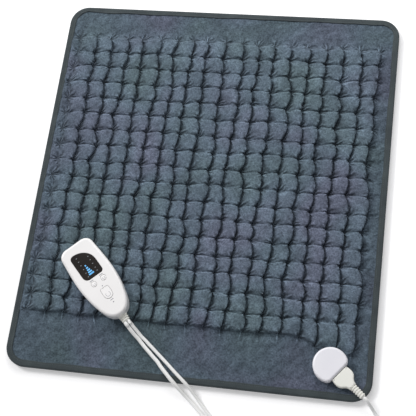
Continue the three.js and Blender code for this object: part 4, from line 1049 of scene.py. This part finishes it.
# %% Handset shells
shell_outline = handset_outline(2)
screw_wells = [circle(centre, 2.8, 40) for centre in ((10, 17), (10, -17), (106, 12), (106, -12))]
key_holes = [key_outline(*form) for form in key_forms.values()]
window_rows = [(-1.0, 20), (-0.6, 20), (-0.3, 19.7), (-0.3, 18.3), (1.3, 18.3), (1.3, 17.6)]
key_rows = [(-0.95, 20), (-0.6, 20), (-0.35, 19.75), (-0.35, 17.6)]
outer = carried(shell_outline, [(2.4, 8.15), (0, 8.15), (0, 8.6), (0, 12), (0, 15.8)]
                + quarter(4, 16, 4, 0, 12) + [(4.5, 20)])
inner = carried(shell_outline, [(2.4, 8.15), (2.4, 16)] + quarter(4, 16, 1.6, 0, 5))
top_shell = build("handset_top_shell", [
    grid(outer), grid(inner),
    fill(outer[-1], outset(window_outline, 1.0, 20), *[outset(hole, 0.95, 20) for hole in key_holes]),
    fill(inner[-1], outset(window_outline, -1.3, 17.6), *[outset(hole, 0.35, 17.6) for hole in key_holes]),
    grid(carried(window_outline, window_rows)), *[grid(carried(hole, key_rows)) for hole in key_holes]],
    *handset_at)
outer = carried(shell_outline, [(4.5, 0)] + quarter(4, 4, 4, -90, 12)
                + [(0, 4.3), (0, 7.4), (0, 7.85), (2.4, 7.85)])
inner = carried(shell_outline, [(2.4, 7.85), (2.4, 4)] + quarter(4, 4, 1.6, -90, 5)[::-1])
bottom_shell = build("handset_bottom_shell", [
    grid(outer), grid(inner), *[grid(carried(well, [(0, 0), (0, 2.4)])) for well in screw_wells],
    fill(outer[0], *[spread(well, 0) for well in screw_wells]),
    fill(inner[-1], *[spread(well, 2.4) for well in screw_wells])], *handset_at)
print(len(top_shell.data.polygons), "and", len(bottom_shell.data.polygons), "faces in the shells")

# %% Keys and lens
shell_top, key_slope = 20, 0.6
keys = {}
for name, (start, length, y, width) in key_forms.items():
    stem_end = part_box(f"{name}_key")[0][2] / MM - handset_z
    outline = key_outline(start, length, y, width)
    flange_outline = outset(outline, 1.2, 0)[:, :2]
    flange = carried(flange_outline, [(0, 16.5), (0, 17.3), (1.2, 17.3)])
    cap = carried(outline, [(0, 17.3), (0, 19.4)] + quarter(0.6, 19.4, 0.6, 0, 6) + [(0.9, shell_top)])
    stem = circle((start + length / 2, y), 1.6, 24)
    blocks = [grid(flange), fill(flange[0], spread(stem, 16.5)), grid(cap), fill(cap[-1]),
              grid(carried(stem, [(0, stem_end), (0, 16.5)])), fill(spread(stem, stem_end))]
    for points, _ in blocks:
        slope = key_slope * np.clip((points[:, 0] - start) / length, 0, 1)
        points[:, 2] += slope * (points[:, 2] > 19)
    keys[name] = build(f"{name}_keytop", blocks, *handset_at)
lens_rows = [(0.4, 18.6), (0, 18.6), (0, 19.75), (0.25, 20), (0.7, 20)]
lens = build("smoked_window", capped(carried(window_outline, lens_rows)), *handset_at)
print(list(keys))

# %% [markdown]
# ### Marks
#
# The lit bars under the window grow towards the tail. Beside them and on the shell are only plain dots,
# dashes and arcs. All are very thin plates, about a twentieth of a millimetre proud of their surface.

# %% Bars, dots and dashes


def dash(x, y, long_, wide, corner=0.3):
    """A small rectangle with round corners, about its centre."""
    a, b = long_ / 2 - corner, wide / 2 - corner
    return np.concatenate([arc((x + i * a, y + j * b), corner, start, start + 90, 3)
                           for i, j, start in ((1, 1, 0), (-1, 1, 90), (-1, -1, 180), (1, -1, 270))])


def level_y(x, y):
    """The marks were measured along a line that leans a little to the handset's own."""
    return y + 1.1 - 0.018 * x


def thin(name, outlines):
    """Thin plates on top of the handset."""
    blocks = [block for outline in outlines for block in plate(outline, shell_top - 0.03, shell_top + 0.04)]
    return build(name, blocks, *handset_at, 80)


bar_sizes = ((38, 2.0), (42, 3.2), (45.5, 4.6), (49, 6.2), (52.5, 8.0))
bars = [dash(x, level_y(x, -2.6 + 0.35 * n), 2.3, wide) for n, (x, wide) in enumerate(bar_sizes)]
dot_places = [(x, -7.6) for x in (21.6, 27.6, 34.1, 41.1, 47.6, 54)]
dot_places += [(x, 7.6) for x in (28.5, 34.6, 41.3, 48.3, 53.6)]
dots = [circle((x, level_y(x, y)), (0.6, 1.0), 16) for x, y in dot_places]
labels = [dash(62.0, level_y(62, -7.3), 1.0, 6.0), dash(62.0, level_y(62, 8.6), 1.0, 6.0),
          dash(101.6, 1.2, 1.0, 5.0), circle((77.2, 1.2), 0.85, 16), circle((105.8, 1.1), (0.8, 1.1), 16)]
lit_bars, lit_dots = thin("lit_level_bars", bars), thin("lit_dots", dots)
shell_marks = thin("shell_marks", labels)
key_marks = {}
for name, (start, length, y, width) in key_forms.items():
    middle, band = (start + length - width / 2, y), 0.28 * width
    ring = np.vstack([arc(middle, band, -140, 140, 24), arc(middle, band - 0.5, 140, -140, 24)])
    ring_blocks = plate(ring, -0.02, 0.05)
    for points, _ in ring_blocks:
        points[:, 2] += shell_top + key_slope * (points[:, 0] - start) / length
    key_marks[name] = build(f"{name}_mark", ring_blocks, *handset_at, 80)
print(len(bars), "bars,", len(dots), "dots")

# %% [markdown]
# ## Gland, socket, connector and plug
#
# The soft fittings are ovals carried along a line, drawn in between their ribs. The socket is a round
# housing with one flat side, where the connector's nose goes in. Its recess is cut by a Boolean, which is
# applied, so that no cutter stays in the scene.

# %% Ribbed fittings


def ovals(stations, mid_z, sides=48):
    """Ovals at given stations, each (x, half width, half height)."""
    x, wide, high = np.array(stations, float).T[..., None]
    turn = np.linspace(0, 2 * np.pi, sides, endpoint=False)[None]
    return capped(np.stack([x + 0 * turn, wide * np.cos(turn), mid_z + high * np.sin(turn)], -1))


def ribbed(start, length, count, first, last, mid_z, depth=1.1):
    """Ovals along a line, with half width and height going evenly from the first pair to the last, and
    drawn in by a depth behind each rib."""
    share = np.tile([0.0, 0.07, 0.52, 0.6, 0.64, 0.95], count)
    along = np.append((np.repeat(np.arange(count), 6) + share) / count, 1.0)
    drawn = np.append(np.tile([0.3, 0.0, 0.0, 0.25, 1.0, 1.0], count), 1.0) * depth
    half = np.array(first) + along[:, None] * (np.array(last) - np.array(first)) - drawn[:, None]
    return ovals(np.column_stack([start + along * length, half]), mid_z, 40)


collar = [(120.1, 8.0, 5.4), (121.7, 8.0, 5.4), (121.7, 6.6, 4.0), (126.6, 6.6, 4.0), (127.2, 6.2, 3.7)]
gland = build("cord_gland_boot", ovals(collar, 8) + ribbed(126.3, 9.5, 3, (6.6, 4.0), (5.7, 3.6), 8),
              *handset_at)
socket_relief = build("connector_boot", ribbed(41.6, 18, 5, (5.2, 4.2), (4.4, 3.7), 14.2), *socket_at)
plug_relief = build("plug_boot", ribbed(0, 24, 6, (3.4, 3.4), (5.0, 5.0), 8.5), *plug_at)
print("three ribbed boots")

# %% Socket
socket_radius, socket_flat, socket_corner = 23.8, 15.0, 9.0
recess_corners = np.array([(3.4, -10.3), (17, -10.3), (17, 10.3), (3.4, 10.3)])


def socket_outline(drawn):
    """A circle with a chord across it and both corners rounded, counterclockwise."""
    x = socket_flat - socket_corner
    open_ = math.degrees(math.acos(x / (socket_radius - socket_corner)))
    y = x * math.tan(math.radians(open_))
    return joined(arc((0, 0), socket_radius - drawn, open_, 360 - open_, 104),
                  arc((x, -y), socket_corner - drawn, 360 - open_, 360, 10),
                  np.linspace((socket_flat - drawn, -y), (socket_flat - drawn, y), 9),
                  arc((x, y), socket_corner - drawn, 0, open_, 10))


def socket_part(name, profile):
    """A solid whose rings are the socket's outline drawn in by each step of the profile, with the recess
    cut out of it. The Boolean is applied and its cutter removed."""
    rings = np.stack([spread(socket_outline(drawn), z) for drawn, z in profile])
    piece = build(name, capped(rings), *socket_at)
    cutter = build("recess_cutter", plate(recess_corners, 11.5, 16.9), *socket_at)
    boolean = piece.modifiers.new("recess", "BOOLEAN")
    boolean.operation, boolean.solver, boolean.object = "DIFFERENCE", "EXACT", cutter
    bpy.context.view_layer.update()
    mesh = bpy.data.meshes.new_from_object(piece.evaluated_get(bpy.context.evaluated_depsgraph_get()))
    piece.modifiers.clear()
    piece.data = mesh
    bpy.data.objects.remove(cutter)
    mesh.set_sharp_from_angle(angle=math.radians(30))
    return piece


base_part = socket_part("socket_base_moulding", [(0.3, 8.6), (0, 8.9), (0, 11.4), (0.3, 11.7), (2.1, 11.7),
                                                 (2.1, 18.4), (2.4, 18.7)])
lid_part = socket_part("socket_lid_moulding", [(2.1, 19.0), (1.8, 18.7), (1.8, 18.7), (1.8, 12.0), (0, 12.0),
                                               (0, 17.7)] + quarter(3, 17.8, 3, 0, 12) + [(3.5, 20.8)])
print(len(base_part.data.polygons), "and", len(lid_part.data.polygons), "faces in the socket")

# %% Connector
front_x, rear_x, mid_z = 15.3, 41.3, 14.2
cheek = joined(bezier((front_x, -12.8), (21.0, -14.8), (28.5, -15.2), (32.5, -10.6), 24)[:-1],
               bezier((32.5, -10.6), (35.0, -7.6), (36.5, -5.9), (rear_x, -5.4), 14))
connector_outline = joined(cheek, np.linspace((rear_x, -5.4), (rear_x, 5.4), 7)[1:-1], cheek[::-1] * [1, -1],
                           np.linspace((front_x, 12.8), (front_x, -12.8), 13)[1:-1])
body_rings = carried(connector_outline, [(2.6, 10)] + quarter(2.2, 12.2, 2.2, -90, 8) + [(0, mid_z)]
                     + quarter(2.2, 16.2, 2.2, 0, 8) + [(2.6, 18.4)])
# The nose is drawn with its length as the height and then laid over, so that the length runs along x.
pin_bores = [circle((y, mid_z), 1.3, 24) for y in (-5.6, 0, 5.6)]
nose_rings = carried(rounded_rectangle(10, 2.4, 0.6, 0.5) + [0, mid_z], [(0.3, 3.7), (0, 4.0), (0, 16.0)])
nose = [grid(nose_rings), fill(nose_rings[-1]),
        fill(nose_rings[0], *[spread(bore, 3.7) for bore in pin_bores])]
for bore in pin_bores:
    nose += [grid(carried(bore, [(0, 3.7), (0, 13.2)])), fill(spread(bore, 13.2))]
laid_over = [(points[:, [2, 0, 1]], faces) for points, faces in nose]
connector = build("connector_moulding", capped(body_rings) + laid_over, *socket_at)
print(len(connector.data.polygons), "faces in the connector")

# %% Plug body
plug_rows = [(4.5, 0)] + quarter(4, 4, 4, -90, 9) + [(0, 8.5)] + quarter(4, 13, 4, 0, 9) + [(4.5, 17)]
plug_rings = carried(rounded_rectangle(15, 12.5, 7, 1.2) + [39.3, 0], plug_rows)
plug_moulding = build("plug_moulding", capped(plug_rings), *plug_at)
print(len(plug_moulding.data.polygons), "faces in the plug")

# %% [markdown]
# ## Materials
#
# Each material is named for what the real part is made of and how. Sizes of patterns are given in
# millimetres. Every material but the floor's reads the object's own coordinates, or flat ones that its mesh
# carries.

# %% Moulded, drawn and rolled materials


def solid(name, first, second, roughness, grain_mm, depth_mm, drift_mm=30, **inputs):
    """A faint drift between two tones, roughness that varies by an eighth, and a fine surface grain of one
    size and depth."""
    made = Recipe(name)
    tone, grain = made.drift(drift_mm, first, second), made.noise(grain_mm, 3.0)
    return made.principled(
        Base_Color=tone, Roughness=made.between(grain, roughness * 0.88, roughness * 1.12),
        Normal=made.bump(grain, depth_mm, 0.5), **inputs)


# Handset shells and keys: ABS, moulded in a lightly polished tool and left as it comes out.
white_abs = solid("injection_moulded_white_abs", "#f5f3f2", "#f8f6f5", 0.3, 0.5, 0.01,
                  Coat_Weight=0.12, Coat_Roughness=0.2)
# Socket: the same plastic in a cooler batch, from a plainer tool.
lavender_abs = solid("injection_moulded_cool_white_abs", "#ebeaf0", "#f0eff4", 0.36, 0.5, 0.012)
# Connector, boots and plug: soft PVC moulded over the cord's end.
ivory_pvc = solid("overmoulded_ivory_pvc", "#ecece4", "#f1f0ea", 0.44, 0.4, 0.012)
# Cords: PVC drawn over the twisted wires by an extruder.
cord_pvc = solid("extruded_white_pvc_cord", "#eeeeec", "#f2f2f1", 0.4, 0.8, 0.01)
# Display module and backing plate: ABS with a dull tool finish.
grey_abs = solid("moulded_dull_grey_abs", "#8b9096", "#92969b", 0.6, 0.4, 0.02)
# Switches and chip: glass-filled epoxy, moulded under pressure.
black_epoxy = solid("transfer_moulded_black_epoxy", "#1d1e20", "#242527", 0.55, 0.25, 0.02)
# Relay: PBT case, moulded.
blue_pbt = solid("moulded_blue_pbt", "#2a5f9e", "#2e65a5", 0.45, 0.4, 0.02)
# Screws and thermal fuses: steel, cold headed, then barrel plated with zinc.
zinc_steel = solid("barrel_zinc_plated_steel", "#b8bbbe", "#c4c5c2", 0.32, 0.3, 0.01, Metallic=1.0)
# Contact pins and plug blades: brass, turned and blanked from strip.
cut_brass = solid("turned_bright_brass", "#c9a557", "#d1b066", 0.26, 0.2, 0.008, Metallic=1.0)
# Heating wire: silicone rubber drawn over the heater strand.
silicone = solid("extruded_red_silicone", "#b83a2c", "#c24434", 0.5, 0.6, 0.02)
# Marks on the shell and keys: grey pad-printed ink.
grey_ink = solid("pad_printed_grey_ink", "#8f9097", "#96979e", 0.6, 0.3, 0.004)
# Felt: needled polyester and wool fibres.
felt = solid("needled_felt", "#b9b7ae", "#a9a79d", 0.95, 0.7, 0.25, 6, Specular_IOR_Level=0.15)
# Batting: carded polyester fibre, bonded with heat.
fibre = solid("heat_bonded_polyester_fibre", "#e6e4dc", "#dcdad0", 0.95, 1.1, 0.6, 14,
              Specular_IOR_Level=0.15)
# Stitches: twisted polyester thread.
thread = solid("twisted_polyester_thread", "#4d5557", "#566062", 0.7, 0.4, 0.05)
print("solid materials ready")

# %% Glass, lens, lights and board


def lit(name, first, second, strength):
    """Light from a display behind the lens, even over each mark, with a slow drift between two tones."""
    made = Recipe(name)
    tone = made.drift(9, first, second)
    return made.principled(Base_Color=tone, Roughness=0.3, Emission_Color=tone, Emission_Strength=strength)


blue_light = lit("lit_blue_display_segment", "#4f9fdc", "#7cc0ea", 0.4)
pale_light = lit("lit_pale_display_segment", "#73777a", "#84898c", 0.08)
# Fuse: clear tube of drawn glass.
made = Recipe("drawn_clear_glass")
glass_tube = made.principled(Base_Color=linear("#dfe6e8"), Roughness=made.between(made.noise(3), 0.03, 0.07),
                             Transmission_Weight=0.9)
# Lens: cast acrylic, dyed nearly black and polished to a mirror surface.
made = Recipe("polished_smoked_acrylic")
smoked = made.principled(Base_Color=made.drift(22, "#1b1714", "#26211e"),
                         Roughness=made.between(made.noise(8), 0.06, 0.12))
# Circuit board: epoxy glass, its green solder mask a little paler in straight bands over copper tracks.
made = Recipe("solder_masked_epoxy_board")
tracks = made.value("ShaderNodeTexVoronoi", "Distance", {"distance": "CHEBYCHEV"}, Vector=made.spot,
                    Scale=260.0)
green_board = made.principled(
    Roughness=0.35, Base_Color=made.tones(made.between(tracks, 1, 0, 0.32, 0.36), "#235c3a", "#2f7549"))
print("glass, lens, lights and board ready")

# %% Tape and backing cloth
# Binding: woven polyester tape, read from the tape's own flat coordinates. Ribs of weft 0.9 mm apart run
# across it, crossed by finer warp.
made = Recipe("woven_polyester_binding_tape")
on_tape = made.value("ShaderNodeUVMap", "UV", {"uv_map": "weave"})
weave = made.waves(on_tape, "Y", 520, 0.4, 40) * 0.6 + made.waves(on_tape, "X", 350, 0.6, 40)
woven_tape = made.principled(
    Base_Color=made.drift(24, "#394043", "#464e50", 4.0), Roughness=0.8, Specular_IOR_Level=0.25,
    Sheen_Weight=0.25, Sheen_Roughness=0.5, Sheen_Tint=linear("#9aa6ac"), Normal=made.bump(weave, 0.22, 0.7))
# Back cloth: plain-woven polyester, two crossing sets of threads 0.6 mm apart.
made = Recipe("plain_woven_polyester_backing")
weave = made.waves(made.spot, "X", 520, 0.5, 30) + made.waves(made.spot, "Y", 520, 0.5, 30)
woven_back = made.principled(Base_Color=made.drift(40, "#3a444d", "#434e58", 4.0), Roughness=0.85,
                             Specular_IOR_Level=0.2, Normal=made.bump(weave, 0.15, 0.6))
print("woven materials ready")

# %% [markdown]
# ## Hand the pieces over
#
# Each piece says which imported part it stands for, which material slot its finish comes from, and which
# body it moves with. Parts with no piece of their own keep their packed form and only get a material.

# %% Pieces, slots and bodies
handed = {
    ("binding_tape", root): [(tape, woven_tape, "edge_binding"), (stitches, thread)],
    ("backing_fabric", root): [(back_sheet, woven_back, "bottom_cover")],
    ("felt", root): [(felt_sheet, felt, "heater_carrier")],
    ("batting_fill", root): [(batting_sheet, fibre, "batting")],
    ("white_shell", root): [
        (top_shell, white_abs, "controller_top_shell"), (bottom_shell, white_abs, "controller_bottom_shell"),
        (base_part, lavender_abs, "socket_base"), (lid_part, lavender_abs, "socket_lid"),
        (shell_marks, grey_ink)],
    ("smoked_lens", root): [(lens, smoked, "display_window"), (lit_bars, blue_light), (lit_dots, pale_light)],
    ("ivory_moulding", root): [
        (gland, ivory_pvc, "cord_gland"), (plug_moulding, ivory_pvc, "plug_body"),
        (plug_relief, ivory_pvc, "plug_strain_relief")],
    ("ivory_moulding", "connector"): [
        (connector, ivory_pvc, "connector_body"), (socket_relief, ivory_pvc, "connector_strain_relief")],
    ("cord_cover", root): [(mains_cord, cord_pvc, "mains_lead", "mains_lead_coil", "mains_lead_end")]}
for name in key_forms:
    handed["white_shell", f"{name}_button"] = [
        (keys[name], white_abs, f"{name}_key"), (key_marks[name], grey_ink)]
for (slot_name, body_name), group in handed.items():
    for piece, material, *stood_for in group:
        paint(piece, material)
        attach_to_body(piece, body_name)
        if stood_for:
            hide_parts(*stood_for)
print(sum(len(group) for group in handed.values()), "pieces handed over")

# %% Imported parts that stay
finishes = {
    "heating_wire": silicone, "socket_backing_plate": grey_abs, "display_module": grey_abs,
    "circuit_board": green_board, "microcontroller": black_epoxy, "fuse": glass_tube, "relay": blue_pbt,
    "thermal_fuse": zinc_steel, "screw": zinc_steel, "pin": cut_brass, "blade": cut_brass,
    "switch": black_epoxy}
for name, node in nodes.items():
    for word, material in finishes.items():
        if word in name:
            paint(node, material)
print("packed parts painted")

# %% Cords
paint(lead_cord, cord_pvc)
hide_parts("pad_lead")
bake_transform(lead_cord)
